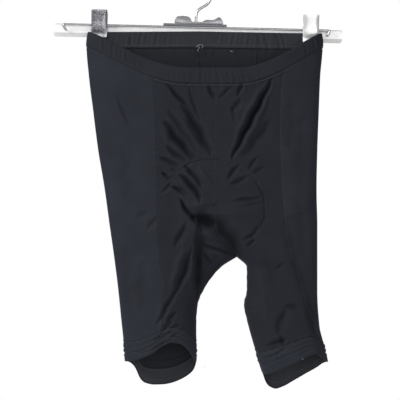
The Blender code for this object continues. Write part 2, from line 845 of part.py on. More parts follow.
def build_hook(collection, cutters):
    """The hook over the rail, the bracket and plate that its stem passes through."""
    radius = HOOK_INNER_RADIUS + HOOK_WIRE_RADIUS
    foot = BAR_TOP + FIT + 0.2
    path = [(0, 0, foot), (0, 0, HOOK_NECK - 4), (0.4, 0, HOOK_NECK), (2.6, 0, HOOK_NECK + 4.6)]
    path.append((7.4, 0, HOOK_NECK + 8.4))
    for turn in np.radians(spread(-50, 200, 28)):
        path.append((radius * math.cos(turn), 0, -HOOK_INNER_RADIUS + radius * math.sin(turn)))
    wire("hook", path, HOOK_WIRE_RADIUS, 2, "chrome", collection)
    stem = rod("stem_hole", (0, 0, -60), 2, HOOK_WIRE_RADIUS + FIT, 24, 24, "chrome", cutters)
    hide(stem)
    left, right = PLATE_ENDS
    low, high = BAR_TOP + FIT, BAR_TOP + FIT + PLATE_HEIGHT
    outline = [(left, low), (left, high), (right, high), (right, low)]
    half = PLATE_DEPTH / 2
    plate = extrusion("hook_plate", outline, 1, -half, half, "dark_steel", collection)
    bevel(plate, 0.7, 1)
    boolean(plate, stem, "DIFFERENCE")
    half = BRACKET_DEPTH / 2
    bracket = extrusion(
        "hook_bracket", BRACKET_OUTLINE, 1, -half, half, "chrome", collection
    )
    bevel(bracket, 0.7, 1)
    boolean(bracket, stem, "DIFFERENCE")


def build_jaw(side, end, collection, cutters):
    """One plate of a clip with its two ears on the wire. side is FRONT or BACK."""
    name = f"clip_{end}_{'front' if side == FRONT else 'back'}"
    centre = CLIP_CENTRES[end]
    across = (-CLIP_HALF_WIDTH, -CLIP_HALF_FACE, 0, CLIP_HALF_FACE, CLIP_HALF_WIDTH)
    points = []
    for height, out, rim in JAW_ROWS:
        for x in across:
            bent = rim if abs(x) == CLIP_HALF_WIDTH else 0
            points.append((centre + x, HANG_Y + side * (out - bent), WIRE_HEIGHT + height))
    wide = len(across)
    faces = []
    for i in range(len(JAW_ROWS) - 1):
        for j in range(wide - 1):
            k = i * wide + j
            faces.append((k, k + 1, k + 1 + wide, k + wide))
    jaw = mesh_object(name, points, faces, "chrome", collection)
    sheet = jaw.modifiers.new("sheet", "SOLIDIFY")
    sheet.thickness = CLIP_SHEET * MM
    sheet.offset = 0
    sheet.use_even_offset = True
    inset = 0.9 if side == FRONT else 2.4
    place = CLIP_HALF_FACE + 1.2 - inset
    for sign in (-1, 1):
        x = centre + sign * place
        near, far = HANG_Y + side * 5.4, HANG_Y - side * 3.2
        outline = [
            (near, WIRE_HEIGHT + 4.5),
            (far + side * 1.6, WIRE_HEIGHT + 3.0),
            (far, WIRE_HEIGHT + 1.2),
            (far, WIRE_HEIGHT - 1.2),
            (far + side * 1.6, WIRE_HEIGHT - 3.0),
            (near, WIRE_HEIGHT - 4.5),
        ]
        ear_name = f"{name}_ear_{'a' if sign < 0 else 'b'}"
        ear = extrusion(ear_name, outline, 0, x - 0.45, x + 0.45, "chrome", cutters)
        hide(ear)
        boolean(jaw, ear, "UNION")
    hole = rod(
        f"{name}_hole",
        (centre, HANG_Y, WIRE_HEIGHT),
        0,
        WIRE_RADIUS + FIT,
        30,
        20,
        "chrome",
        cutters,
    )
    hide(hole)
    boolean(jaw, hole, "DIFFERENCE")


def build_clip(end, collection, cutters):
    for side in (FRONT, BACK):
        build_jaw(side, end, collection, cutters)
    centre = (CLIP_CENTRES[end], HANG_Y, WIRE_HEIGHT)
    hole_radius = WIRE_RADIUS + FIT
    name = f"clip_spring_{end}"
    spring = rod(name, centre, 0, SPRING_RADIUS, SPRING_LENGTH, 20, "dark_steel", collection)
    hole = rod(f"{name}_hole", centre, 0, hole_radius, 30, 20, "chrome", cutters)
    hide(hole)
    boolean(spring, hole, "DIFFERENCE")


def main():
    for old in list(bpy.data.objects):
        bpy.data.objects.remove(old)
    scene = bpy.context.scene.collection
    collection = bpy.data.collections.new("cycling_shorts_on_hanger")
    cutters = bpy.data.collections.new("cutters")
    cutters.hide_render = True
    scene.children.link(collection)
    scene.children.link(cutters)
    build_panels(collection)
    build_bands(collection)
    build_pad(collection)
    build_bar(collection)
    build_wire(collection)
    build_hook(collection, cutters)
    for end in (LEFT, RIGHT):
        build_clip(end, collection, cutters)


main()
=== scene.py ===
# %% [markdown]
# # Cycling shorts on a clip hanger
#
# The shorts are dark stretch knit, cut from six panels with an elastic waistband, a stitched hem on
# each leg and a foam seat pad inside. A metal hanger grips only the back of the waistband, so the
# front droops and the opening shows the inside of the back. This notebook first loads the solid
# model, which fixes every size, and then lays fine cloth, stitches and metal over it.

import math

import bmesh
import bpy
import numpy as np
from mathutils import Matrix, Vector
from mathutils.bvhtree import BVHTree


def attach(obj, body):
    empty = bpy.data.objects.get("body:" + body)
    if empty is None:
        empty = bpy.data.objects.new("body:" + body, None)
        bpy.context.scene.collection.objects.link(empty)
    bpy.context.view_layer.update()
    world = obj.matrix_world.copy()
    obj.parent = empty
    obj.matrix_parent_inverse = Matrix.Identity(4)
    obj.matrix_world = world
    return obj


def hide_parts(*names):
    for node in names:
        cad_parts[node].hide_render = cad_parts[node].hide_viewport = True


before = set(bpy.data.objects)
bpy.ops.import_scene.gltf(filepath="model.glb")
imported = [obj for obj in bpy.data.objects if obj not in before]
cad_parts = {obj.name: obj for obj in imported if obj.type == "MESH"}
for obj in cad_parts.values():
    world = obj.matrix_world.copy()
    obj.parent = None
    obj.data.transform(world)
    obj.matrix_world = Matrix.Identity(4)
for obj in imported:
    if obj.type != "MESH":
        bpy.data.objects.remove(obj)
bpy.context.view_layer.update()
MM = 0.001
LEFT, RIGHT = "left", "right"
FRONT, BACK = -1, 1
WALL_NAMES = {FRONT: "front", BACK: "back"}


def link(name, data):
    """A new object at the origin of the scene."""
    made = bpy.data.objects.new(name, data)
    bpy.context.scene.collection.objects.link(made)
    return made


def put_outward(build, mesh):
    """Turns a bmesh's faces outward and moves it into a mesh."""
    bmesh.ops.recalc_face_normals(build, faces=build.faces)
    build.to_mesh(mesh)
    build.free()
    return mesh


print("nodes of the solid model:", len(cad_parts))

# %% [markdown]
# ## Camera
#
# The photograph is a level shop picture taken from a few metres away, so the lens is long and the
# camera looks straight along +Y. One pixel of the 400 pixel frame is 1.4 mm at the hanger, which
# gives the lens: sensor width times distance over the width that is seen.

# %% The camera at the photograph's angle
PIXEL = 1.4 * MM
FRAME_PIXELS = 400
SENSOR = 36
CAMERA_AWAY = 2.4
CLOTH_NEARER = 0.02
CAMERA_X, CAMERA_Z = 0.0042, -0.3102
FAR_CLIP = 50

camera = link("camera", bpy.data.cameras.new("camera"))
camera.data.sensor_width = SENSOR
camera.data.lens = SENSOR * (CAMERA_AWAY - CLOTH_NEARER) / (FRAME_PIXELS * PIXEL)
camera.location = (CAMERA_X, -CAMERA_AWAY, CAMERA_Z)
camera.rotation_euler = (math.pi / 2, 0, 0)
camera.data.clip_end = FAR_CLIP
bpy.context.scene.camera = camera
print("lens in mm:", round(camera.data.lens, 1))

# %% [markdown]
# ## The form of the garment
#
# A hanging garment could be draped by a cloth simulation, but a simulation never lands on the exact
# folds of one photograph. Here the form is read from short tables instead, in millimetres: where
# the side folds, the centre seams and the inseams run, and how deep each wall stands. They are the
# same tables that the solid model is made from, so the fine cloth lies on the solid.

# %% Tables of the form
WAIST_SEAM = 21.0
LEG_START = 180.0
CROTCH_START = 268.0
CROTCH = 312.0
HEM_SEAM = 437.0
HEM_EDGE = 462.0
GRIPPER_TOP = 444.5
GRIPPER_EDGE = 460.5
HANG_Y = -12.0

SIDE_COLUMNS = ("down", "left_x", "left_z", "right_x", "right_z")
SIDE_FOLDS = (
    (0, -153, -75, 175, -77),
    (21, -155, -96, 176, -98),
    (60, -152, -135, 173, -137),
    (110, -146, -184, 171, -187),
    (165, -139, -239, 169, -242),
    (220, -130, -293, 168, -296),
    (270, -123, -344, 169, -347),
    (312, -117, -386, 169, -389),
    (360, -111, -433, 169, -438),
    (410, -106, -482, 172, -487),
    (437, -103, -510, 178, -512),
    (462, -101, -536, 183.5, -537),
)
RISE_COLUMNS = ("down", "front_x", "front_z", "back_x", "back_z")
RISE_SEAMS = (
    (0, 25, -127, 3, -74),
    (21, 25, -148, 3, -95),
    (60, 25, -180, 3, -137),
    (110, 25, -219, 4, -188),
    (165, 24, -258, 7, -244),
    (220, 22, -299, 14, -303),
    (270, 26, -346, 30, -353),
    (312, 56, -390, 56, -390),
)
INSEAM_COLUMNS = ("down", "left_x", "left_z", "right_x", "right_z")
INSEAMS = (
    (312, 56, -390, 56, -390),
    (330, 33, -405, 70, -405),
    (360, 10, -435, 70, -436),
    (385, 1, -457, 66, -457),
    (410, -1, -482, 71, -482),
    (437, -1, -511, 83, -524),
    (462, -1, -536, 93, -554),
)
DEPTH_COLUMNS = ("down", "front", "back", "fullness")
DEPTHS = (
    (0, 27, 0.4, 3.2),
    (21, 26, 0.8, 3.1),
    (60, 24, 6, 2.9),
    (110, 23, 12, 2.7),
    (165, 24, 17, 2.6),
    (220, 25, 21, 2.5),
    (270, 26, 24, 2.4),
    (312, 27, 26, 2.3),
    (360, 27, 27, 2.2),
    (410, 28, 28, 2.2),
    (462, 29, 29, 2.2),
)
HEM_COLUMNS = ("across", "left_front", "left_back", "right_front", "right_back")
HEM_SHAPES = (
    (0.00, 0, 0, 0, 0),
    (0.02, 3, -8, 0, -6),
    (0.05, 8, -15, 0, -14),
    (0.11, 17, -21, 1, -22),
    (0.22, 26, -28, 3.5, -27),
    (0.34, 28, -33, 6.5, -25.5),
    (0.46, 24, -35.5, 9.5, -21.5),
    (0.60, 14, -36, 13.5, -16.5),
    (0.72, 8, -33.5, 16.5, -12),
    (0.79, 5, -28, 17, -9.5),
    (0.87, 3, -11, 12, -6),
    (0.93, 1.5, -4, 6, -2.5),
    (1.00, 0, 0, 0, 0),
)
LIFT_COLUMNS = ("down", "share")
HEM_LIFTS = (
    (330, 0),
    (385, 0.13),
    (437, 0.80),
    (462, 1),
)
SEAM_COLUMNS = ("down", "left_front", "left_back", "right_front", "right_back")
PANEL_SEAMS = (
    (0, 0.43, 0.60, 0.56, 0.47),
    (110, 0.45, 0.58, 0.58, 0.45),
    (220, 0.49, 0.56, 0.63, 0.43),
    (270, 0.53, 0.56, 0.65, 0.44),
    (312, 0.60, 0.58, 0.64, 0.48),
    (360, 0.46, 0.52, 0.72, 0.50),
    (410, 0.47, 0.50, 0.84, 0.50),
    (462, 0.53, 0.50, 0.88, 0.50),
)

# %% [markdown]
# Straight lines between table rows would leave kinks. `Track` reads a table as smooth curves that
# never overshoot a row, the way a pattern cutter's flexible rule passes through marked points.


# %% A table read as smooth curves
class Track:
    """The first column of a table is the place, and the others are read at any place between."""

    def __init__(self, columns, rows):
        self.columns = columns
        self.table = np.array(rows, float)

    def at(self, column, place):
        known = self.table[:, 0]
        values = self.table[:, self.columns.index(column)]
        steps = np.diff(known)
        slopes = np.diff(values) / steps
        tangents = np.empty_like(values)
        tangents[0], tangents[-1] = slopes[0], slopes[-1]
        turning = slopes[:-1] * slopes[1:] <= 0
        total = np.where(turning, 1.0, slopes[:-1] + slopes[1:])
        tangents[1:-1] = np.where(turning, 0.0, 2 * slopes[:-1] * slopes[1:] / total)
        row = np.clip(np.searchsorted(known, place, side="right") - 1, 0, len(steps) - 1)
        t = (place - known[row]) / steps[row]
        rise = 3 * t**2 - 2 * t**3
        return (
            values[row] * (1 - rise)
            + values[row + 1] * rise
            + steps[row] * tangents[row] * (t - 2 * t**2 + t**3)
            + steps[row] * tangents[row + 1] * (t**3 - t**2)
        )


SIDES = Track(SIDE_COLUMNS, SIDE_FOLDS)
RISES = Track(RISE_COLUMNS, RISE_SEAMS)
LEGS = Track(INSEAM_COLUMNS, INSEAMS)
WALLS = Track(DEPTH_COLUMNS, DEPTHS)
HEMS = Track(HEM_COLUMNS, HEM_SHAPES)
LIFTS = Track(LIFT_COLUMNS, HEM_LIFTS)
SEAMS = Track(SEAM_COLUMNS, PANEL_SEAMS)


def spread(start, end, steps):
    """Places at equal steps, both ends among them."""
    return np.linspace(start, end, steps + 1)


def eased(share):
    """From 0 to 1 with a slow start and end."""
    share = np.clip(share, 0, 1)
    return 3 * share**2 - 2 * share**3


def hill(off, width):
    """1 on a line, fading away on both sides of it."""
    return np.exp(-((off / width) ** 2))


def way_along(points):
    """How far each point of a line is from the first one, measured along the line."""
    return np.concatenate([[0], np.cumsum(np.linalg.norm(np.diff(points, axis=0), axis=1))])


def smooth_path(points, per_span):
    """More points between these, on a curve that passes through them."""
    known = np.array(points, float)
    way = way_along(known)
    axes = range(known.shape[1])
    track = Track(("way", *axes), np.column_stack([way, known]))
    places = spread(0, way[-1], per_span * len(known))
    return np.stack([track.at(axis, places) for axis in axes], axis=1)


print("waist opening, mm:", SIDES.at("right_x", 0.0) - SIDES.at("left_x", 0.0))

# %% [markdown]
# ## Sections of cloth
#
# Seen from above, half of the seat is a flattened curve from the centre seam to the side fold, and
# a leg is a closed oval. Both are superellipses, which are ellipses with fuller shoulders. Between
# the seat and the leg the two are mixed, quickly at the crotch seam and slowly further out.

# %% One wall of the garment at one level
NEAR_SEAM, NEAR_SEAM_FADE = 0.15, 0.5
SAG_REACH, SAG_POWER = 1.25, 1.2
CURVE_POINTS = 161


def inner_edge(half, down, wall):
    """Where a wall starts: at the centre seam above the crotch, at the inseam below it."""
    track, name = (RISES, WALL_NAMES[wall]) if down < CROTCH else (LEGS, half)
    return track.at(name + "_x", down), track.at(name + "_z", down)


def leg_share_of(down, shares):
    """How far the section has turned from the seat's curve into the leg's oval, 0 to 1."""
    closing = min(max((down - CROTCH_START) / (CROTCH - CROTCH_START), 0.0), 1.0)
    easing = eased((down - LEG_START) / (CROTCH - LEG_START))
    near_seam = 1 - eased((shares - NEAR_SEAM) / NEAR_SEAM_FADE)
    return near_seam * (1 - math.sqrt(1 - closing**2)) + (1 - near_seam) * easing


def power_of(base, exponent):
    return np.sign(base) * np.abs(base) ** exponent


def evenly(curve, shares):
    """Points at these shares of a curve's length."""
    way = way_along(curve)
    return np.stack([np.interp(shares * way[-1], way, curve[:, i]) for i in range(3)], axis=1)


def wall_points(half, down, wall, shares):
    """Points of one wall at one level, from its inner edge (0) to the side fold (1)."""
    inner_x, inner_z = inner_edge(half, down, wall)
    side_x, side_z = SIDES.at(half + "_x", down), SIDES.at(half + "_z", down)
    depth = WALLS.at(WALL_NAMES[wall], down)
    power = 2 / WALLS.at("fullness", down)
    leg_share = leg_share_of(down, shares)[:, None]
    points = np.zeros((len(shares), 3))
    if down < CROTCH:
        turn = np.linspace(0, math.pi / 2, CURVE_POINTS)
        x = inner_x + (side_x - inner_x) * power_of(np.sin(turn), power)
        y = wall * depth * power_of(np.cos(turn), power)
        droop = (side_x - x) / (side_x - inner_x)
        if wall == FRONT:
            droop = np.sin(math.pi / 2 * np.clip(SAG_REACH * droop, 0, 1)) ** SAG_POWER
        z = side_z + (inner_z - side_z) * droop
        points += (1 - leg_share) * evenly(np.stack([x, y, z], axis=1), shares)
    if down > LEG_START:
        turn = np.linspace(0, math.pi, CURVE_POINTS)
        x = inner_x + (side_x - inner_x) * (1 - power_of(np.cos(turn), power)) / 2
        y = wall * depth * power_of(np.sin(turn), power)
        off_inner = np.clip((x - inner_x) / (side_x - inner_x), 0, 1)
        lift = LIFTS.at("share", max(down, HEM_LIFTS[0][0]))
        lift = lift * HEMS.at(f"{half}_{WALL_NAMES[wall]}", off_inner)
        z = inner_z + (side_z - inner_z) * off_inner + lift
        points += leg_share * evenly(np.stack([x, y, z], axis=1), shares)
    return points


print("points on a wall at the crotch:", len(wall_points(LEFT, CROTCH, FRONT, spread(0, 1, 40))))

# %% [markdown]
# ## Folds
#
# Each crease is one row: a line seen from the front, how far it bows, how wide it is and how deep.
# Its section is a valley with a narrow bottom, wide soft sides and low lips, because cloth that is
# pushed in at one place bulges beside it. A row of positive depth is a soft ridge. A tuck is a step
# that comes back out slowly. The rows in front follow the real folds, and the back gets similar
# ones that the picture doesn't show.

# %% Tables of folds, in millimetres from the hook
FOLD_COLUMNS = ("x0", "z0", "x1", "z1", "bow", "width", "depth")
FRONT_FOLDS = (
    (-45, -146, -10, -184, 0, 2.2, -4.4),
    (-21, -176, 21, -249, -1, 4.5, -5.5),
    (-29, -187, 8, -243, 0, 3.5, 2.0),
    (-11, -152, 8, -204, 2.5, 1.9, -2.4),
    (-41, -184, 1, -243, 0.5, 3.2, -3.2),
    (-45, -200, -3, -254, 2, 5.0, -6.5),
    (-35, -229, -10, -251, 0, 2.6, 1.8),
    (-43, -235, -13, -257, 1, 2.8, -4.4),
    (-52, -250, -24, -263, 1, 2.4, -3.6),
    (-50, -271, -36, -282, 1, 1.9, -2.4),
    (-48, -300, -35, -286, 0, 1.9, -2.2),
    (14, -151, 27, -170, 0, 2.6, -3.4),
    (29, -169, 49, -152, 1, 2.1, -2.2),
    (63, -145, 57, -166, 0, 2.4, -3.4),
    (62, -170, 48, -187, 0, 3.2, -2.8),
    (49, -180, 53, -202, 0, 2.3, -1.7),
    (105, -141, 48, -254, 1, 3.4, -8.6),
    (99, -167, 64, -243, 0, 5.0, 1.5),
    (91, -151, 52, -226, 0, 5.0, 1.2),
    (104, -200, 63, -253, 0, 6.0, -3.0),
    (85, -251, 71, -267, 0, 2.4, -2.4),
    (95, -263, 78, -274, 0, 2.2, -2.0),
    (59, -261, 42, -281, 0, 2.6, -3.4),
    (73, -277, 46, -289, 0, 2.6, -3.0),
    (-18, -263, 7, -293, -1.8, 2.6, -4.8),
    (-25, -275, 6, -314, -4.5, 3.2, -6.2),
    (-15, -271, 4, -303, -3, 2.2, 2.2),
    (1, -263, 22, -289, 0, 3.2, 2.0),
    (-24, -292, -11, -305, 0, 2.0, -2.4),
    (-34, -284, -10, -292, -1, 2.0, 1.8),
    (-36, -291, -18, -299, 0, 1.8, -1.8),
    (-49, -272, -37, -281, 0, 1.6, -2.0),
    (-45, -279, -36, -276, 0, 1.5, 1.4),
    (-38, -267, -27, -271, 0, 1.6, -1.8),
    (-38, -291, -13, -307, -2, 2.0, -2.8),
    (-29, -286, -14, -293, 0, 1.6, 1.6),
    (-48, -303, -35, -300, 0, 1.6, 1.5),
    (-17, -320, 28, -312, 0, 5.0, 3.8),
    (-24, -308, -1, -341, 1, 2.6, -6.5),
    (-8, -331, 26, -346, 0, 7.0, -8.8),
    (16, -330, 62, -391, -1.5, 9.0, -6.6),
    (-1, -355, 49, -369, 0, 5.0, 2.6),
    (1, -370, 56, -389, 0.5, 2.0, -3.6),
    (8, -384, 22, -401, 0, 1.9, -2.6),
    (8, -380, 41, -387, 0, 3.0, 2.0),
    (-14, -342, -31, -376, 0, 3.2, -3.4),
    (49, -312, 90, -307, 0, 2.0, -2.8),
    (60, -320, 92, -314, 0, 2.6, -1.3),
    (64, -368, 87, -347, 0, 2.4, -3.0),
    (69, -376, 83, -363, 0, 2.0, -2.4),
    (67, -361, 83, -351, 0, 2.0, 2.0),
    (1, -369, 1, -453, 1, 3.6, -4.2),
    (-6, -375, -31, -442, -1, 4.0, -4.8),
    (-27, -432, -56, -485, 0, 2.7, -3.6),
    (-15, -366, -38, -439, 0, 4.6, 2.2),
    (-28, -466, -43, -481, 0, 2.6, -3.0),
    (125, -459, 112, -499, 1.8, 4.6, -3.2),
    (122, -458, 141, -463, -2.5, 3.4, -2.6),
    (152, -440, 164, -497, -2, 4.4, -2.6),
    (95, -515, 126, -503, 0, 3.0, -3.8),
    (115, -496, 123, -515, 0, 2.6, -2.6),
    (109, -408, 122, -397, 0, 2.1, -2.0),
    (-53, -498, -32, -477, 0, 2.5, -2.8),
    (-36, -488, -24, -484, 0, 1.9, -2.4),
    (-54, -504, -34, -491, 1, 1.9, -2.6),
    (-64, -519, -43, -506, 1, 1.9, -2.2),
    (-39, -503, -26, -495, 0, 1.6, -1.8),
    (-86, -524, -66, -519, 0, 1.9, -1.6),
    (96, -523, 116, -513, 0, 1.7, -1.6),
    (104, -527, 131, -512, 0, 1.7, -1.8),
    (87, -541, 103, -534, 0, 1.7, -1.5),
    (-60, -505, -39, -494, 0, 1.9, -1.8),
    (90, -536, 106, -526, 0, 2.3, -2.2),
    (-112, -162, -92, -209, 1.5, 2.2, -2.0),
    (-129, -198, -119, -260, 2, 9.0, -1.2),
    (-105, -235, -97, -330, -3, 10.0, -1.4),
    (-101, -369, -92, -470, 2, 9.0, -1.3),
    (-74, -390, -77, -470, 2, 6.0, -1.5),
    (-69, -352, -55, -333, 0, 3.0, -2.2),
    (-85, -334, -66, -326, 0, 3.0, -1.4),
    (130, -159, 127, -240, -3, 9.0, -1.4),
    (150, -180, 146, -299, 3, 9.0, -1.2),
    (140, -299, 147, -390, -2, 9.0, -1.3),
    (95, -379, 112, -439, 2, 8.0, -1.3),
    (84, -410, 97, -480, -2, 6.0, 1.8),
)
BACK_FOLDS = (
    (-70, -150, -20, -262, 4, 8.0, -4.4),
    (-52, -146, -4, -232, 3, 6.0, 2.0),
    (96, -150, 44, -270, -4, 8.0, -4.8),
    (112, -160, 74, -262, -3, 6.0, 2.0),
    (-30, -160, 4, -240, 3, 6.0, -2.4),
    (58, -150, 30, -232, -2, 6.0, -2.6),
    (-100, -180, -62, -290, 4, 7.0, -2.4),
    (140, -170, 106, -290, -4, 7.0, -2.4),
    (-60, -282, 10, -300, 6, 6.0, -2.6),
    (-50, -300, 16, -322, 6, 7.0, -4.0),
    (110, -286, 52, -322, -6, 7.0, -4.4),
    (124, -312, 66, -336, -6, 6.0, -2.4),
    (-40, -330, 30, -352, 5, 7.0, -3.6),
    (-22, -350, 36, -368, 4, 5.0, -2.6),
    (104, -330, 66, -356, -3, 6.0, -3.2),
    (-70, -330, -44, -420, -4, 8.0, -3.4),
    (-20, -400, -60, -490, 4, 7.0, -3.6),
    (-88, -400, -70, -480, 3, 6.0, -2.0),
    (140, -350, 118, -440, 4, 8.0, -3.4),
    (86, -410, 130, -500, -5, 7.0, -3.6),
    (150, -440, 160, -510, 2, 6.0, -2.2),
)
TUCK_COLUMNS = ("x0", "z0", "x1", "z1", "bow", "width", "reach", "depth")
FRONT_TUCKS = (
    (0, -456, 3, -330, -3, 2.6, 42, -13.0),
    (166, -478, 122, -334, -5, 5.0, 34, -6.5),
)
PAD_RELIEF_COLUMNS = ("x", "z", "half_x", "half_z", "bulge")
FRONT_PAD_RELIEF = (37, -318, 62, 66, 4.5)
BACK_PAD_RELIEF = (38, -322, 66, 62, 3.5)

# %% [markdown]
# The pad is sewn through the cloth along its outline. In front the line shows over the pad and
# down its right side, and the left is lost in folds. Behind it shows all round but at the seat's
# top. The groove and the stitches both follow these points.

# %% The line that the pad is sewn along
FRONT_PAD_SEAM = (
    (-16, -264),
    (-6, -259),
    (10, -256),
    (29, -256),
    (46, -259),
    (58, -264.5),
    (74, -274),
    (87, -290),
    (94.5, -311),
    (95, -332),
    (88, -350),
    (78, -363),
)
BACK_PAD_SEAM = (
    (-20, -366),
    (-27, -340),
    (-26, -312),
    (-14, -284),
    (8, -268),
    (36, -262),
    (62, -268),
    (86, -284),
    (100, -312),
    (100, -340),
    (92, -366),
)
PAD_GROOVE = 1.5
PAD_GROOVE_WIDTH = 1.9
PAD_LINE_POINTS = 8


def off_path(line, x, z):
    """How far points are from a line of points."""
    nearest = np.full(np.shape(x), np.inf)
    for (ax, az), (bx, bz) in zip(line[:-1], line[1:]):
        run, rise = bx - ax, bz - az
        along = np.clip(((x - ax) * run + (z - az) * rise) / (run**2 + rise**2), 0, 1)
        nearest = np.minimum(nearest, np.hypot(x - ax - along * run, z - az - along * rise))
    return nearest


PAD_LINES = {
    FRONT: smooth_path(FRONT_PAD_SEAM, PAD_LINE_POINTS),
    BACK: smooth_path(BACK_PAD_SEAM, PAD_LINE_POINTS),
}
print("pad seam, mm in front:", round(way_along(PAD_LINES[FRONT])[-1]))


# %% Folds as a height over the smooth wall
def rows_of(columns, table):
    return [dict(zip(columns, row)) for row in table]


FOLDS = {FRONT: rows_of(FOLD_COLUMNS, FRONT_FOLDS), BACK: rows_of(FOLD_COLUMNS, BACK_FOLDS)}
TUCKS = {FRONT: rows_of(TUCK_COLUMNS, FRONT_TUCKS), BACK: []}
PAD_BULGES = {
    FRONT: dict(zip(PAD_RELIEF_COLUMNS, FRONT_PAD_RELIEF)),
    BACK: dict(zip(PAD_RELIEF_COLUMNS, BACK_PAD_RELIEF)),
}
WANDER, WANDER_LENGTH = 0.2, 4.6
VALLEY_ROUNDING, VALLEY_STEEPNESS = 0.35, 1.25
LIP_HEIGHT, LIP_PLACE = 0.2, 2.3
END_WIDTH, WIDTH_GAIN = 0.45, 0.6
FOLD_TAPER, TUCK_TAPER = 0.55, 0.5
PAD_DOME_POWER = 0.8
PAD_PULL, PAD_PULL_REACH = 0.5, 6.0
SLOW_WAVES, QUICK_WAVES = 0.45, 0.16


def off_line(row, x, z):
    """How far a point is off a fold's line, to its right, and the fold's strength there. The line
    wanders a little, because no crease in cloth is ruled."""
    run, rise = row["x1"] - row["x0"], row["z1"] - row["z0"]
    length = math.hypot(run, rise)
    along = ((x - row["x0"]) * run + (z - row["z0"]) * rise) / length**2
    off = ((x - row["x0"]) * rise - (z - row["z0"]) * run) / length
    inside = np.clip(along, 0, 1)
    off = off - row["bow"] * 4 * inside * (1 - inside)
    off = off + WANDER * row["width"] * np.sin(along * length / WANDER_LENGTH + row["x0"])
    return off, np.abs(np.sin(math.pi * inside))


def valley(across):
    """A crease's section: a narrow rounded bottom, wide soft sides and a low lip on each."""
    down = np.sqrt(across**2 + VALLEY_ROUNDING**2) - VALLEY_ROUNDING
    return np.exp(-VALLEY_STEEPNESS * down) - LIP_HEIGHT * hill(np.abs(across) - LIP_PLACE, 1)


def folds(wall, x, z, tucks=1.0):
    """How far the creases and tucks push the cloth out, less than nought in a valley."""
    out = np.zeros_like(x)
    for row in FOLDS[wall]:
        off, taper = off_line(row, x, z)
        across = off / (row["width"] * (END_WIDTH + WIDTH_GAIN * taper))
        section = valley(across) if row["depth"] < 0 else hill(across, 1)
        out = out + row["depth"] * taper**FOLD_TAPER * section
    for row in TUCKS[wall]:
        off, taper = off_line(row, x, z)
        step = 1 / (1 + np.exp(-np.clip(off / row["width"] * 2, -30, 30)))
        fade = np.exp(-np.maximum(off, 0) / row["reach"])
        out = out + tucks * row["depth"] * taper**TUCK_TAPER * step * fade
    return out


def pad_relief(wall, x, z):
    """The pad's soft bulge, the groove of its seam and the small pulls beside it."""
    row = PAD_BULGES[wall]
    reach = np.hypot((x - row["x"]) / row["half_x"], (z - row["z"]) / row["half_z"])
    dome = row["bulge"] * np.clip(1 - reach**2, 0, 1) ** PAD_DOME_POWER
    off = off_path(PAD_LINES[wall], x, z)
    pull = np.sin(x / 1.9 + 1.2 * np.sin(z / 5)) * np.sin(z / 2.1) * np.exp(-off / PAD_PULL_REACH)
    return dome - PAD_GROOVE * hill(off, PAD_GROOVE_WIDTH) + PAD_PULL * pull


def unevenness(x, z):
    """Low waves of several lengths, so that no stretch of cloth is perfectly smooth."""
    slow = np.sin(x / 17 + 1.3 * np.sin(z / 31)) * np.sin(z / 23 + 0.9 * np.sin(x / 19))
    quick = np.sin(x / 6.1 + 1.7 * np.sin(z / 13)) * np.sin(z / 8.3 + 1.1 * np.sin(x / 11))
    return SLOW_WAVES * slow + QUICK_WAVES * quick


def relief(wall, x, z):
    return folds(wall, x, z) + pad_relief(wall, x, z) + unevenness(x, z)


print("folds in front:", len(FOLDS[FRONT]), "and behind:", len(FOLDS[BACK]))

# %% [markdown]
# `flat_level` gives the points of one half at one level, before any fold. The place round a half
# runs from 0 at the front's inner edge over 0.5 at the side fold to 1 at the back's inner edge, and
# past either end it goes on over the seam. That lets two neighbours agree on the direction of the
# cloth at the seam between them. `folded` then presses the folds into a whole grid of points at
# once, because numpy works on large arrays far faster than on many small ones.

# %% The folded surface
SEAM_OVERLAP = 0.5
SIDE_DEPTH = 30
LEAST_DEPTH = 6.0
FACING_SHARE, FACING_POWER = 0.75, 1.5
FOLDS_START, FOLDS_WHOLE = 18, 27


def flat_level(half, down, around):
    """Points at one level, and which wall each is on."""
    around = np.asarray(around, float)
    points = np.zeros((len(around), 3))
    walls = np.zeros(len(around))
    over = (around < 0) | (around > 1)
    if over.any():
        beyond = around[over]
        if down < CROTCH:
            mirrored = np.where(beyond < 0, -beyond, 2 - beyond)
            points[over], walls[over] = flat_level(RIGHT if half == LEFT else LEFT, down, mirrored)
        else:
            points[over], walls[over] = flat_level(half, down, beyond % 1.0)
    for wall in (FRONT, BACK):
        here = ~over & ((around <= 0.5) if wall == FRONT else (around > 0.5))
        if here.any():
            shares = 2 * around[here] if wall == FRONT else 2 * (1 - around[here])
            points[here] = wall_points(half, down, wall, shares)
            walls[here] = wall
    return points, walls


def folded(points, walls, levels):
    """The same points with the folds pressed in, for a grid with one row at each level. Folds fade
    out towards the side folds, where the cloth faces sideways, and above the waist seam."""
    levels = np.asarray(levels)[:, None]
    depth = np.where(walls == FRONT, WALLS.at("front", levels), WALLS.at("back", levels))
    whole_from = FACING_SHARE * np.maximum(depth, LEAST_DEPTH)
    facing = np.clip(np.abs(points[..., 1]) / whole_from, 0, 1) ** FACING_POWER
    below_band = np.clip((levels - FOLDS_START) / (FOLDS_WHOLE - FOLDS_START), 0, 1)
    x, z = points[..., 0], points[..., 2]
    push = np.where(walls == FRONT, relief(FRONT, x, z), relief(BACK, x, z))
    out = points.copy()
    out[..., 1] += walls * push * facing * below_band
    return out


def seam_places(half, down):
    """The seams met on the way round a half: centre front, side front, side back, centre back."""
    side_front = SEAMS.at(f"{half}_front", down) / 2
    side_back = 1 - SEAMS.at(f"{half}_back", down) / 2
    return 0.0, side_front, side_back, 1.0


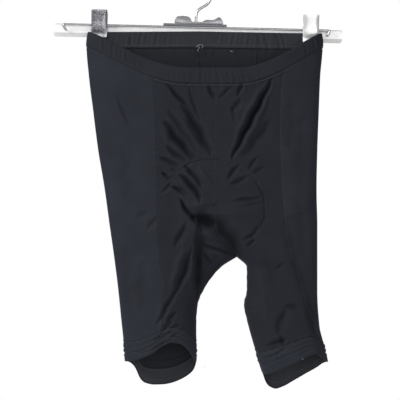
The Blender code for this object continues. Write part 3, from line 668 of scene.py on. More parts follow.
def past_seam(half, down):
    """How far a panel reaches past its seam, as a share of the way round its half."""
    reach = abs(SIDES.at(half + "_x", down) - inner_edge(half, down, FRONT)[0])
    return SEAM_OVERLAP / (2 * reach + SIDE_DEPTH)


print("seams at the waist:", [round(float(place), 2) for place in seam_places(LEFT, 0.0)])

# %% [markdown]
# ## From a grid of points to a piece of cloth
#
# A panel is a grid: rows down the garment and columns across. The way out of the cloth at a point
# is the cross product of the two directions along the surface. The wall is the grid moved out and
# in along it, closed round its rim. A UV map in metres goes with it, so that the knit follows the
# cloth, and two attributes keep how deep in a fold each point lies and which ones are inside.


# %% Grids
def unit(vectors):
    return vectors / np.linalg.norm(vectors, axis=-1)[..., None]


def past_ends(values):
    """The values with one more past either end, so that slopes can be read at the ends too."""
    return np.concatenate([[2 * values[0] - values[1]], values, [2 * values[-1] - values[-2]]])


def panel_grid(half, levels, first_seam, columns):
    """Points and outward directions of a panel, which reaches from one seam to the next."""
    extended = past_ends(levels)
    rows = []
    for down in extended:
        seams, past = seam_places(half, down), past_seam(half, down)
        around = np.linspace(seams[first_seam] - past, seams[first_seam + 1] + past, columns)
        rows.append(flat_level(half, down, past_ends(around)))
    points, walls = (np.stack(part) for part in zip(*rows))
    grid = folded(points, walls, extended)
    across = grid[1:-1, 2:] - grid[1:-1, :-2]
    along = grid[2:, 1:-1] - grid[:-2, 1:-1]
    normal = unit(np.cross(across, along))
    return grid[1:-1, 1:-1], normal if half == LEFT else -normal


def ring_grid(rows_at, levels):
    """The same for a closed band: rows_at gives its points once round at each level."""
    extended = past_ends(levels)
    points, walls = (np.stack(part) for part in zip(*(rows_at(down) for down in extended)))
    grid = folded(points, walls, extended)
    across = np.roll(grid, -1, axis=1) - np.roll(grid, 1, axis=1)
    along = grid[2:] - grid[:-2]
    return grid[1:-1], unit(np.cross(across[1:-1], along))


def distances(grid):
    """How far across and how far along the cloth each point lies."""
    across = np.linalg.norm(np.diff(grid, axis=1), axis=2)
    across = np.concatenate([np.zeros((len(grid), 1)), np.cumsum(across, axis=1)], axis=1)
    along = np.linalg.norm(np.diff(grid, axis=0), axis=2).mean(axis=1)
    along = np.concatenate([[0], np.cumsum(along)])
    return across, np.repeat(along[:, None], grid.shape[1], axis=1)


# %% Walls of cloth
RIM_ROUNDING = 0.3
HANG = np.array([0, HANG_Y, 0])


def wall_faces(rows, columns, ring):
    """Faces over a wall's points: its outside, its inside, its upper rim and its lower rim."""
    size, last = rows * columns, (rows - 1) * columns
    top, low = 2 * size, 2 * size + columns
    faces = []
    for j in range(columns if ring else columns - 1):
        k = (j + 1) % columns
        for row in range(0, last, columns):
            a, b, c, d = row + j, row + k, row + columns + j, row + columns + k
            faces += [(a, b, d, c), (a + size, c + size, d + size, b + size)]
        faces += [(k, j, top + j, top + k), (top + k, top + j, size + j, size + k)]
        a, b = last + j, last + k
        faces += [(a, b, low + k, low + j), (low + j, low + k, b + size, a + size)]
    if ring:
        return faces
    for j, turn in ((0, 1), (columns - 1, -1)):
        for a in range(j, last, columns):
            c = a + columns
            faces.append((a, c, c + size, a + size)[::turn])
        faces.append((j, j + size, top + j)[::turn])
        faces.append((low + j, last + j + size, last + j)[::turn])
    return faces


def cloth_map(grid, faces, ring):
    """Millimetres across and along the cloth for each corner of each face. On a ring the corners
    that are back at the first column get the whole way round instead of nought."""
    columns = grid.shape[1]
    across, along = distances(grid)
    round_it = across[:, -1:] + np.linalg.norm(grid[:, :1] - grid[:, -1:], axis=2)
    places = np.stack([across, along, np.repeat(round_it, columns, axis=1)], axis=2).reshape(-1, 3)
    places = np.concatenate([places, places, places[:columns], places[-columns:]])
    corners = np.concatenate(faces)
    mapped = places[corners]
    if ring:
        last_span = np.arange(len(corners)) >= len(corners) * (columns - 1) // columns
        closing = last_span & (corners % columns == 0)
        mapped[closing, 0] = mapped[closing, 2]
    return mapped[:, :2]


def cloth_wall(name, grid, normal, lift, thickness, ring=False, depth_in=None, lining=None):
    """A closed wall of cloth with a soft rim. A lining is a smoother grid for its inside."""
    rows, columns = grid.shape[:2]
    outer = grid + normal * lift + HANG
    inner = (grid if lining is None else lining) + normal * (lift - thickness) + HANG
    middle = (outer + inner) / 2
    rim = RIM_ROUNDING * thickness
    top = middle[0] + rim * unit(middle[0] - middle[1])
    low = middle[-1] + rim * unit(middle[-1] - middle[-2])
    points = np.concatenate([outer.reshape(-1, 3), inner.reshape(-1, 3), top, low])
    faces = wall_faces(rows, columns, ring)
    mesh = bpy.data.meshes.new(name)
    mesh.from_pydata((points * MM).tolist(), [], faces)
    corner_places = cloth_map(grid, faces, ring) * MM
    mesh.uv_layers.new(name="cloth").data.foreach_set("uv", corner_places.ravel().astype(np.float32))
    fold = np.zeros((rows, columns)) if depth_in is None else depth_in
    side_points = rows * columns
    point_values = {
        "fold": np.concatenate([fold.ravel(), fold.ravel(), fold[0], fold[-1]]),
        "inside": np.repeat([0.0, 1.0, 0.5], [side_points, side_points, 2 * columns]),
    }
    for label, values in point_values.items():
        attribute = mesh.attributes.new(label, "FLOAT", "POINT")
        attribute.data.foreach_set("value", values.astype(np.float32))
    build = bmesh.new()
    build.from_mesh(mesh)
    put_outward(build, mesh)
    mesh.shade_smooth()
    return link(name, mesh)


print("faces of a wall of 3 by 3 points:", len(wall_faces(3, 3, False)))

# %% [markdown]
# ## Panels
#
# Two front panels meet at the centre seam, a side panel wraps round each hip, and two back panels
# meet behind. The seams are sewn flat, so the cloth dips a little where two edges meet and puckers
# beside the thread. Puckers are short waves along the seam that die away within a centimetre. A
# low ridge under the waistband is the panels' own seam allowance, turned down inside.

# %% Seam dips and puckers
SEAM_DIP, SEAM_DIP_WIDTH = 0.45, 1.4
SEAM_PUCKER, SEAM_PUCKER_REACH = 0.22, 6.0
BAND_DIP = 0.6
BAND_PUCKER, BAND_PUCKER_REACH = 0.42, 8.0
RIDGE_BELOW_BAND, RIDGE_WIDTH = 3.4, 1.2
WAIST_PHASE_STEP, HEM_PHASE_STEP = 0.7, 2.9


def pucker(way, phase):
    """Short waves along a seam, stronger in some stretches than in others."""
    wave = np.sin(way / 1.75 + phase) + 0.7 * np.sin(way / 2.6 + 2 * phase)
    return wave * (0.6 + 0.4 * np.sin(way / 27 + phase))


def seam_dressing(across, along, levels, phases, ridge):
    """Height beside a panel's seams. Both panels at a seam share its phase, so that their puckers
    run on from one to the other."""
    out = np.zeros_like(across)
    for off, phase in zip((across, across[:, -1:] - across), phases):
        fade = np.exp(-off / SEAM_PUCKER_REACH)
        out += SEAM_PUCKER * pucker(levels[:, None], phase) * fade
        out -= SEAM_DIP * hill(off, SEAM_DIP_WIDTH)
    ends = (along, phases[0] + WAIST_PHASE_STEP), (along[-1, 0] - along, phases[1] + HEM_PHASE_STEP)
    for off, phase in ends:
        out += ridge * hill(off - RIDGE_BELOW_BAND, RIDGE_WIDTH)
        out -= BAND_DIP * hill(off, SEAM_DIP_WIDTH)
        out += BAND_PUCKER * pucker(across, phase) * np.exp(-off / BAND_PUCKER_REACH)
    return out


# %% The six panels
PANEL_KINDS = ("front", "side", "back")
PANEL_COLUMNS = (96, 84, 72)
PANEL_RIDGES = (0.85, 0.35, 0.6)
PANEL_WALL = 1.2
ROW_STEP = 1.5
SEAM_PHASES = {LEFT: (0.4, 1.7, 3.9, 0.4), RIGHT: (0.4, 2.6, 5.1, 0.4)}
# TUCK_SHADE is the share of a tuck's depth that goes into the painted crease shade
TUCK_SHADE = 0.15
SIDE_FADE = 14
panel_levels = np.linspace(
    WAIST_SEAM - SEAM_OVERLAP, HEM_SEAM + SEAM_OVERLAP, int((HEM_SEAM - WAIST_SEAM) / ROW_STEP)
)


def fold_depth(kind, grid):
    """How deep in a fold each point lies, which sets the painted crease shade in its colour."""
    x, y, z = (grid[..., i] for i in range(3))
    if kind != "side":
        return folds(FRONT if kind == "front" else BACK, x, z, TUCK_SHADE)
    both = [folds(wall, x, z, TUCK_SHADE) for wall in (FRONT, BACK)]
    return np.where(y < 0, *both) * np.clip(np.abs(y) / SIDE_FADE, 0, 1)


cloth = {}
grids = {}
for seam, (kind, columns, ridge) in enumerate(zip(PANEL_KINDS, PANEL_COLUMNS, PANEL_RIDGES)):
    for half in (LEFT, RIGHT):
        node, name = f"{kind}_panel_{half}", f"{kind}_cloth_{half}"
        grid, normal = panel_grid(half, panel_levels, seam, columns)
        across, along = distances(grid)
        phases = SEAM_PHASES[half][seam : seam + 2]
        height = seam_dressing(across, along, panel_levels, phases, ridge)
        outside = grid + normal * height[..., None]
        cloth[node] = cloth_wall(
            name, outside, normal, 0.0, PANEL_WALL, depth_in=fold_depth(kind, grid)
        )
        grids[node] = (outside, normal)
        print(name, "widest", round(across[:, -1].max()), "mm, long", round(along[-1, 0]), "mm")

# %% [markdown]
# ## Waistband and hems
#
# The waistband is knitted elastic covered with the panels' cloth, 21 mm high, a closed band that
# is gathered a little by its elastic. Each hem is a turned band held by three rows of stitches,
# with a ribbed gripper tape inside it. They are rings, so the last column of points meets the
# first. A few upright creases in the back of the waistband stand where the picture has them.

# %% Closed bands
BAND_COLUMNS, LEG_COLUMNS = 300, 260
BAND_LIFT = 0.5
BAND_SEAM_DIP, BAND_SEAM_WIDTH = 0.7, 1.2


def waist_row(down):
    """Points once round the waist: the left half forward to back, then the right half back."""
    around = np.linspace(0, 1, BAND_COLUMNS, endpoint=False)
    left, left_walls = flat_level(LEFT, down, around)
    right, right_walls = flat_level(RIGHT, down, 1 - around)
    return np.concatenate([left, right]), np.concatenate([left_walls, right_walls])


def leg_row(half):
    around = np.linspace(0, 1, LEG_COLUMNS, endpoint=False)
    return lambda down: flat_level(half, down, around if half == LEFT else around[::-1])


def gathers(way, height, phase, amount):
    """Small upright waves round a band, strongest in its middle."""
    wave = np.sin(way / 1.15 + phase) + 0.8 * np.sin(way / 1.9 + 2.3 * phase)
    wave = wave * (0.55 + 0.45 * np.sin(way / 21 + phase))
    return amount * wave * np.clip(np.sin(np.clip(height, 0, 1) * math.pi), 0, 1) ** 0.7


def band_height(along, off_seam, fullness):
    """A band's section: fuller in its middle and drawn in at its seam."""
    share = np.clip(along / along[-1, 0], 0, 1)
    swell = np.clip(np.sin(share * math.pi), 0, 1) ** 0.6
    return fullness * swell - BAND_SEAM_DIP * hill(off_seam, BAND_SEAM_WIDTH)


def lay_band(node, name, grid, normal, height, thickness, lining=None):
    """Makes a band's cloth, and keeps its outside for the stitches."""
    outside = grid + normal * height[..., None]
    cloth[node] = cloth_wall(
        name, outside, normal, BAND_LIFT, thickness, ring=True, lining=lining
    )
    grids[node] = (outside + normal * BAND_LIFT, normal)


# %% Waistband
WAIST_ROWS = 15
WAIST_FULLNESS = 0.55
WAIST_WALL = 2.4
WAIST_GATHERS, WAIST_GATHER_PHASE = 0.36, 0.7
BACK_BAND_FROM = -4
CREASE_SLANT = 0.25
# Place across, width and height
BACK_BAND_CREASES = (
    (85, 2.4, 0.88),
    (95, 2.2, 1.2),
    (112, 2.6, 1.52),
    (119, 2.2, 1.28),
    (-96, 2.6, 0.88),
)

waist_levels = np.linspace(0, WAIST_SEAM + SEAM_OVERLAP, WAIST_ROWS)
grid, normal = ring_grid(waist_row, waist_levels)
across, along = distances(grid)
height = band_height(along, along[-1, 0] - along, WAIST_FULLNESS)
height = height + gathers(across, along / along[-1, 0], WAIST_GATHER_PHASE, WAIST_GATHERS)
behind = grid[..., 1] > BACK_BAND_FROM
for x, width, depth in BACK_BAND_CREASES:
    line = hill(grid[..., 0] - x - CREASE_SLANT * along, width)
    height = height + np.where(behind, depth * line, 0)
lay_band("waistband", "waistband_cloth", grid, normal, height, WAIST_WALL)
print("waist round, mm:", round(across[:, -1].max()))

# %% Hems and gripper tapes
HEM_ROWS = (1.4, 8.6, 15.8)
HEM_LEVELS, GRIPPER_LEVELS = 24, 10
HEM_FULLNESS = 0.3
HEM_WALL = 2.0
STITCH_GROOVE, STITCH_RIDGE, STITCH_WIDTH, RIDGE_PAST_STITCH = 1.0, 0.5, 1.3, 2.6
HEM_GATHERS, HEM_SLANT = 0.55, 0.5
HEM_GATHER_PHASES = {LEFT: 1.1, RIGHT: 2.0}
TAPE_LIFT = -2.0
TAPE_WALL = 0.9
TAPE_RIB, TAPE_RIB_PITCH = 0.12, 2.1

hem_levels = np.linspace(HEM_SEAM - SEAM_OVERLAP, HEM_EDGE, HEM_LEVELS)
gripper_levels = np.linspace(GRIPPER_TOP, GRIPPER_EDGE, GRIPPER_LEVELS)
for half in (LEFT, RIGHT):
    grid, normal = ring_grid(leg_row(half), hem_levels)
    across, along = distances(grid)
    height = band_height(along, along, HEM_FULLNESS)
    for off in HEM_ROWS[1:]:
        height = height - STITCH_GROOVE * hill(along - off, STITCH_WIDTH)
        height = height + STITCH_RIDGE * hill(along - off - RIDGE_PAST_STITCH, STITCH_WIDTH)
    slant = across + HEM_SLANT * along
    height = height + gathers(slant, along / HEM_ROWS[-1], HEM_GATHER_PHASES[half], HEM_GATHERS)
    lay_band(f"hem_{half}", f"hem_cloth_{half}", grid, normal, height, HEM_WALL, lining=grid)
    print("hem round, mm:", round(across[:, -1].max()))

    grid, normal = ring_grid(leg_row(half), gripper_levels)
    across, along = distances(grid)
    ribs = TAPE_RIB * np.sin(along / TAPE_RIB_PITCH * 2 * math.pi)
    tape = grid - normal * ribs[..., None]
    node = f"leg_gripper_{half}"
    cloth[node] = cloth_wall(f"gripper_tape_{half}", tape, normal, TAPE_LIFT, TAPE_WALL, ring=True)
    grids[node] = (tape + normal * (TAPE_LIFT - TAPE_WALL), normal)

# %% [markdown]
# ## Seat pad
#
# A foam pad is stitched inside the crotch. Its outline shows outside as a stitched arc with a soft
# bulge. Lines of the pad run down the front, turn round the crotch seam and go up the back, so
# that a flat grid bends into the saddle that the pad takes.

# %% Where the pad lies
PAD_UP_FRONT = 146.0
PAD_UP_BACK = 140.0
PAD_WALL = 4.5
PAD_CLEARANCE = 2.0
PAD_CROTCH_CLEARANCE = 2.6
PAD_NEARBY = 12.0
PAD_COLUMNS = ("round", "left", "right")
PAD_OUTLINE = (
    (0.00, 13, 16),
    (0.05, 27, 37),
    (0.14, 38, 56),
    (0.26, 42, 66),
    (0.38, 34, 50),
    (0.50, 26, 30),
    (0.62, 36, 40),
    (0.78, 54, 58),
    (0.90, 54, 56),
    (0.96, 40, 42),
    (1.00, 20, 20),
)
WALL_LENGTH_STEPS = 40
OUTWARD_STEP = 1.5
WAY_ROUND_HALF = 260


def smooth_level(half, down, around):
    """One point of the cloth without its folds."""
    return flat_level(half, down, [around])[0][0]


def smooth_outward(half, down, around):
    """The way out of the smooth cloth, read on the point's own side of the crotch seam."""
    turn = OUTWARD_STEP / WAY_ROUND_HALF
    across = smooth_level(half, down, around + turn) - smooth_level(half, down, around - turn)
    below, above = down + OUTWARD_STEP, down - OUTWARD_STEP
    if down >= CROTCH > above:
        above = down
    if down < CROTCH <= below:
        below = down
    along = smooth_level(half, below, around) - smooth_level(half, above, around)
    normal = unit(np.cross(across, along))
    return normal if half == LEFT else -normal


def pad_place(reach, along):
    """The wall, the way in from the centre and the level of a point of the pad. Its line runs down
    the front, round a quarter turn to the crotch seam, round another one and up the back."""
    turn = math.pi / 2 * reach
    way = along * (PAD_UP_FRONT + 2 * turn + PAD_UP_BACK)
    if way <= PAD_UP_FRONT:
        return FRONT, reach, CROTCH - PAD_UP_FRONT + way
    way -= PAD_UP_FRONT
    if way <= turn:
        return FRONT, reach * math.cos(way / reach), CROTCH + reach * math.sin(way / reach)
    way -= turn
    if way <= turn:
        return BACK, reach * math.sin(way / reach), CROTCH + reach * math.cos(way / reach)
    return BACK, reach, CROTCH - (way - turn)


def pad_point(half, reach, along):
    """A point of the cloth over the pad, its way out, and how deep the folds near it press in."""
    wall, inwards, down = pad_place(reach, along)
    wall_length = way_along(wall_points(half, down, wall, spread(0, 1, WALL_LENGTH_STEPS)))[-1]
    share = inwards / wall_length
    around = share / 2 if wall == FRONT else 1 - share / 2
    point = smooth_level(half, down, around)
    turns = np.radians(spread(0, 360, 12))
    x = point[0] + PAD_NEARBY * np.append(np.cos(turns), 0)
    z = point[2] + PAD_NEARBY * np.append(np.sin(turns), 0)
    pressed = max(0, -relief(wall, x, z).min())
    return point, smooth_outward(half, down, around), pressed


# %% The pad inside the crotch
PAD_ROWS, PAD_ACROSS = 61, 29
CROTCH_PLACE, CROTCH_REACH = 0.5, 0.14
PAD_EDGE_RISE, PAD_END_RISE = 3, 18
PAD_RIM, PAD_SWELL, PAD_BACKING = 0.35, 0.15, 0.92

pad_outline = Track(PAD_COLUMNS, PAD_OUTLINE)
sides, alongs = spread(-1, 1, PAD_ACROSS - 1), spread(0, 1, PAD_ROWS - 1)
pad_grid = np.zeros((PAD_ROWS, PAD_ACROSS, 3))
pad_normal = np.zeros((PAD_ROWS, PAD_ACROSS, 3))
for i, along in enumerate(alongs):
    clearance = PAD_CLEARANCE + PAD_CROTCH_CLEARANCE * hill(along - CROTCH_PLACE, CROTCH_REACH)
    for j, side in enumerate(sides):
        half = LEFT if side < 0 else RIGHT
        reach = abs(side) * pad_outline.at(half, along)
        point, direction, pressed = pad_point(half, reach, along)
        if side == 0:
            direction = unit(direction + pad_point(LEFT, 0, along)[1])
        pad_grid[i, j] = point - direction * (PANEL_WALL + clearance + pressed)
        pad_normal[i, j] = direction
edge_swell = np.clip(PAD_EDGE_RISE * (1 - np.abs(sides)), 0, 1)
end_swell = np.clip(PAD_END_RISE * np.minimum(alongs, 1 - alongs), 0, 1)
swell = np.sqrt(end_swell[:, None] * edge_swell)[..., None]
pad_top = pad_grid + pad_normal * PAD_WALL * (PAD_RIM + PAD_SWELL * swell - 0.5)
cloth["seat_pad"] = cloth_wall("seat_pad_foam", pad_top, pad_normal, 0.0, PAD_WALL * PAD_BACKING)
print("pad made of", len(cloth["seat_pad"].data.polygons), "faces")

# %% [markdown]
# ## The hanger
#
# The hanger is metal: a flat bar, a rod in front of it that carries two spring clips, and a hook.
# It hangs 1.4 degrees off level. It is modelled level and then tilted about the hook's crown, where
# the rail would carry it. Rods are curves with a round bevel, the bar is an extruded section, and
# the clip plates are bent sheets given a thickness with Solidify.

# %% Hanger helpers
HANGER_TILT = math.radians(1.4)
BAR_CENTRE = 3.0
BAR_LENGTH = 406.0
BAR_TOP = -66.0
BAR_HEIGHT = 18.0
BAR_THICKNESS = 8.0
BAR_BEVEL = 5.5
WIRE_RADIUS = 1.5
WIRE_HEIGHT = -67.7
WIRE_ENDS = (-187.0, 189.0)
HOOK_WIRE_RADIUS = 1.9
HOOK_INNER_RADIUS = 19.0
HOOK_NECK = -47.0
FIT = 0.3
WELD = 0.02


def hang(x, y, z):
    """A place on the tilted hanger, in metres, for millimetres on a level one."""
    return Matrix.Rotation(HANGER_TILT, 4, "Y") @ Vector((x, y, z)) * MM


def plain_mesh(name, points, faces):
    build = bmesh.new()
    corners = [build.verts.new(hang(*point)) for point in points]
    for face in faces:
        build.faces.new([corners[i] for i in face])
    return link(name, put_outward(build, bpy.data.meshes.new(name)))


def slabs(name, outline, axis, spans):
    """An outline pushed out along X (axis 0) or Y (axis 1), once for each span."""
    points, faces = [], []
    count = len(outline)
    for span in spans:
        near, far = len(points), len(points) + count
        for place in span:
            points += [(place, a, b) if axis == 0 else (a, place, b) for a, b in outline]
        faces += [tuple(range(near, far)), tuple(range(far, far + count))]
        for i in range(count):
            k = (i + 1) % count
            faces.append((near + i, near + k, far + k, far + i))
    return plain_mesh(name, points, faces)


def bevel(target, width, segments):
    edges = target.modifiers.new("bevel", "BEVEL")
    edges.width = width * MM
    edges.segments = segments
    edges.limit_method = "ANGLE"
    edges.angle_limit = math.radians(30)


def evaluated(target):
    """The mesh that an object's curve or modifiers give. The object itself is removed."""
    bpy.context.view_layer.update()
    graph = bpy.context.evaluated_depsgraph_get()
    mesh = bpy.data.meshes.new_from_object(target.evaluated_get(graph))
    bpy.data.objects.remove(target)
    return mesh


def baked(target, angle=40):
    """One plain mesh object of the same name, with edges sharper than an angle left sharp."""
    name = target.name
    mesh = evaluated(target)
    build = bmesh.new()
    build.from_mesh(mesh)
    bmesh.ops.remove_doubles(build, verts=build.verts, dist=WELD * MM)
    put_outward(build, mesh)
    mesh.materials.clear()
    mesh.shade_smooth()
    mesh.set_sharp_from_angle(angle=math.radians(angle))
    mesh.name = name
    return link(name, mesh)


def rod_curve(name, paths, radius, resolution=4, tilted=True):
    """Round rods along paths of points, on the tilted hanger or as they stand."""
    curve = bpy.data.curves.new(name, "CURVE")
    curve.dimensions = "3D"
    curve.bevel_depth = radius * MM
    curve.bevel_resolution = resolution
    curve.use_fill_caps = True
    for path in paths:
        line = curve.splines.new("POLY")
        line.points.add(len(path) - 1)
        for point, place in zip(line.points, path):
            spot = hang(*place) if tilted else Vector(place) * MM
            point.co = (*spot, 1)
    return link(name, curve)


def rounded_path(corners, radius, steps):
    """A path through corners, each cut off by a short curve."""
    path = [Vector(corners[0])]
    for before, corner, after in zip(corners[:-2], corners[1:-1], corners[2:]):
        corner = Vector(corner)
        start = corner + (Vector(before) - corner).normalized() * radius
        end = corner + (Vector(after) - corner).normalized() * radius
        for i in range(steps + 1):
            t = i / steps
            path.append(start * (1 - t) ** 2 + corner * 2 * t * (1 - t) + end * t**2)
    path.append(Vector(corners[-1]))
    return [tuple(point) for point in path]


print("hanger's tilt in degrees:", round(math.degrees(HANGER_TILT), 2))

# %% The bar
BAR_CHAMFER, BAR_FLAT, BAR_CORNER = 1.4, 1.3, 3.2

half_bar, bar_bottom = BAR_THICKNESS / 2, BAR_TOP - BAR_HEIGHT
bar_section = [
    (-half_bar + BAR_CHAMFER, BAR_TOP),
    (half_bar - BAR_CHAMFER, BAR_TOP),
    (half_bar, BAR_TOP - BAR_CHAMFER),
    (half_bar, bar_bottom + BAR_BEVEL),
    (BAR_FLAT, bar_bottom),
    (-BAR_FLAT, bar_bottom),
    (-half_bar, bar_bottom + BAR_BEVEL),
    (-half_bar, BAR_TOP - BAR_CHAMFER),
]


def bar_stations():
    """Places along the bar, and how far its section is drawn in there to round the ends."""
    right = []
    for turn in np.radians(spread(0, 90, 6)):
        off = BAR_LENGTH / 2 - BAR_CORNER * (1 - math.cos(turn))
        right.append((off, BAR_CORNER * (1 - math.sin(turn))))
    return [(-off, inset) for off, inset in right] + right[::-1]


def bar_mesh(section, stations):
    middle = BAR_TOP - BAR_HEIGHT / 2
    points, faces = [], []
    for off, inset in stations:
        squeeze = 1 - 2 * inset / BAR_HEIGHT
        points += [(BAR_CENTRE + off, y, middle + (z - middle) * squeeze) for y, z in section]
    wide = len(section)
    last = (len(stations) - 1) * wide
    for start in range(0, last, wide):
        for j in range(wide):
            k = (j + 1) % wide
            faces.append((start + j, start + k, start + wide + k, start + wide + j))
    faces += [tuple(range(wide)), tuple(range(last, last + wide))]
    return plain_mesh("bar", points, faces)


bar = bar_mesh(bar_section, bar_stations())
bevel(bar, width=0.9, segments=3)
bar = baked(bar, angle=25)
print("bar faces:", len(bar.data.polygons))

# %% Rod and hook
ROD_FOOT_IN, ROD_FOOT_DOWN = 4, 7
TOUCH = 0.2
ROD_BEND = 2.6
# How far off the stem's line, and how far above the neck
NECK_BEND = (
    (0, -8),
    (0, -4),
    (0.4, 0),
    (1.2, 2.5),
    (2.6, 4.6),
    (4.7, 6.6),
    (7.4, 8.4),
)
# Degrees of the hook's arc, from and to, and its steps
HOOK_TURNS = (-50, 200, 84)

rod_left, rod_right = WIRE_ENDS
bar_face = -BAR_THICKNESS / 2 - FIT + TOUCH
rod_foot = WIRE_HEIGHT - ROD_FOOT_DOWN
rod_corners = [
    (rod_left + ROD_FOOT_IN, bar_face, rod_foot),
    (rod_left + ROD_FOOT_IN, HANG_Y, rod_foot),
    (rod_left, HANG_Y, WIRE_HEIGHT),
    (rod_right, HANG_Y, WIRE_HEIGHT),
    (rod_right - ROD_FOOT_IN, HANG_Y, rod_foot),
    (rod_right - ROD_FOOT_IN, bar_face, rod_foot),
]
clip_rod = baked(rod_curve("clip_rod", [rounded_path(rod_corners, ROD_BEND, 8)], WIRE_RADIUS))

hook_radius = HOOK_INNER_RADIUS + HOOK_WIRE_RADIUS
hook_path = [(0, 0, BAR_TOP + FIT + TOUCH)]
hook_path += [(x, 0, HOOK_NECK + rise) for x, rise in NECK_BEND]
for turn in np.radians(spread(*HOOK_TURNS)):
    x, z = hook_radius * math.cos(turn), hook_radius * math.sin(turn)
    hook_path.append((x, 0, -HOOK_INNER_RADIUS + z))
hook = baked(rod_curve("hook_wire", [hook_path], HOOK_WIRE_RADIUS, 5))
print("rod faces:", len(clip_rod.data.polygons), "hook faces:", len(hook.data.polygons))

# %% Plate and bracket under the hook
PLATE_ENDS = (-46.0, 43.5)
PLATE_HEIGHT = 3.8
PLATE_DEPTH = 7.0
BRACKET_DEPTH = 5.0
BRACKET_OUTLINE = (
    (-30.0, -61.3),
    (-30.0, -55.5),
    (-27.0, -51.8),
    (-19.0, -50.8),
    (-11.0, -51.6),
    (-7.5, -54.6),
    (-6.0, -58.8),
    (9.0, -58.8),
    (12.0, -56.6),
    (15.0, -55.6),
    (24.0, -55.8),
    (28.0, -54.0),
    (31.0, -51.6),
    (34.5, -52.2),
    (37.0, -56.0),
    (38.5, -61.3),
)

plate_low, plate_high = BAR_TOP + FIT, BAR_TOP + FIT + PLATE_HEIGHT
plate_left, plate_right = PLATE_ENDS
plate_outline = [
    (plate_left, plate_low),
    (plate_left, plate_high),
    (plate_right, plate_high),
    (plate_right, plate_low),
]


def pressed_plate(name, outline, depth):
    """An outline with a depth and rounded edges."""
    made = slabs(name, outline, 1, [(-depth / 2, depth / 2)])
    bevel(made, width=0.8, segments=3)
    return baked(made, angle=30)


plate = pressed_plate("bracket_plate", plate_outline, PLATE_DEPTH)
bracket = pressed_plate("swivel_bracket", BRACKET_OUTLINE, BRACKET_DEPTH)
print("plate and bracket faces:", len(plate.data.polygons), len(bracket.data.polygons))

# %% [markdown]
# ## Clips
#
# Each clip is two pressed plates that turn on the rod: the handles stand apart above it and the
# jaws close on the waistband below it. A plate is a strip of a few rows, wide across and with its
# rims bent back, which Subdivision Surface rounds. The spring is a coil of wire round the rod.

# %% Clip plates and springs
CLIP_CENTRES = {"left": -135.5, "right": 161.5}
CLIP_SHEET = 0.9
CLIP_HALF_FACE = 7.6
CLIP_HALF_WIDTH = 11.0
# Height over the rod, how far out, and how far the rims bend back
JAW_ROWS = (
    (21.0, 9.0, 1.2),
    (19.5, 9.2, 2.2),
    (8.0, 6.2, 2.8),
    (0.0, 5.4, 3.0),
    (-5.5, 4.6, 1.9),
    (-10.0, 2.8, 0.5),
    (-12.5, 2.3, 0.0),
    (-17.5, 2.3, 0.0),
)
JAW_ACROSS = (-CLIP_HALF_WIDTH, -9.4, -CLIP_HALF_FACE, 0, CLIP_HALF_FACE, 9.4, CLIP_HALF_WIDTH)
JAW_BENDS = (1, 0.5, 0, 0, 0, 0.5, 1)
EAR_THICKNESS, EAR_RADIUS = 0.9, 3.4
EAR_OUT, EAR_UP, EAR_SHOULDER = 5.4, 4.5, 0.8
EAR_PLACES = {FRONT: CLIP_HALF_FACE + 0.3, BACK: CLIP_HALF_FACE - 1.2}
SPRING_TURNS, SPRING_STEPS = 7, 16
SPRING_RADIUS, SPRING_LENGTH, SPRING_WIRE = 2.6, 9.0, 0.5
SPRING_LEG_OUT, SPRING_LEG_UP = 5.6, 9.0


def jaw_plate(side, end):
    """A bent strip of sheet, from the handle's top to the jaw's lip."""
    points = []
    for height, out, rim in JAW_ROWS:
        for x, bend in zip(JAW_ACROSS, JAW_BENDS):
            y = HANG_Y + side * (out - rim * bend)
            points.append((CLIP_CENTRES[end] + x, y, WIRE_HEIGHT + height))
    wide = len(JAW_ACROSS)
    faces = []
    for i in range(len(JAW_ROWS) - 1):
        for j in range(wide - 1):
            k = i * wide + j
            faces.append((k, k + 1, k + 1 + wide, k + wide))
    plate = plain_mesh(f"clip_{end}_{WALL_NAMES[side]}_plate", points, faces)
    round_off = plate.modifiers.new("round", "SUBSURF")
    round_off.levels = 2
    round_off.render_levels = 2
    sheet = plate.modifiers.new("sheet", "SOLIDIFY")
    sheet.thickness = CLIP_SHEET * MM
    sheet.offset = 0
    sheet.use_even_offset = True
    bevel(plate, width=0.25, segments=2)
    return baked(plate, angle=50)


def ear_plates(side, end):
    """The two ears that join a plate to the rod, each with the rod passing through it."""
    near, shoulder = HANG_Y + side * EAR_OUT, HANG_Y - side * EAR_SHOULDER
    outline = [
        (near, WIRE_HEIGHT - EAR_UP),
        (near, WIRE_HEIGHT + EAR_UP),
        (shoulder, WIRE_HEIGHT + EAR_RADIUS),
    ]
    for turn in np.radians(spread(60, -60, 8)):
        y = HANG_Y - side * EAR_RADIUS * math.cos(turn)
        outline.append((y, WIRE_HEIGHT + EAR_RADIUS * math.sin(turn)))
    outline.append((shoulder, WIRE_HEIGHT - EAR_RADIUS))
    spans = []
    for sign in (-1, 1):
        x = CLIP_CENTRES[end] + sign * EAR_PLACES[side]
        spans.append((x - EAR_THICKNESS / 2, x + EAR_THICKNESS / 2))
    ears = slabs(f"clip_{end}_{WALL_NAMES[side]}_ears", outline, 0, spans)
    bevel(ears, width=0.15, segments=2)
    return baked(ears)


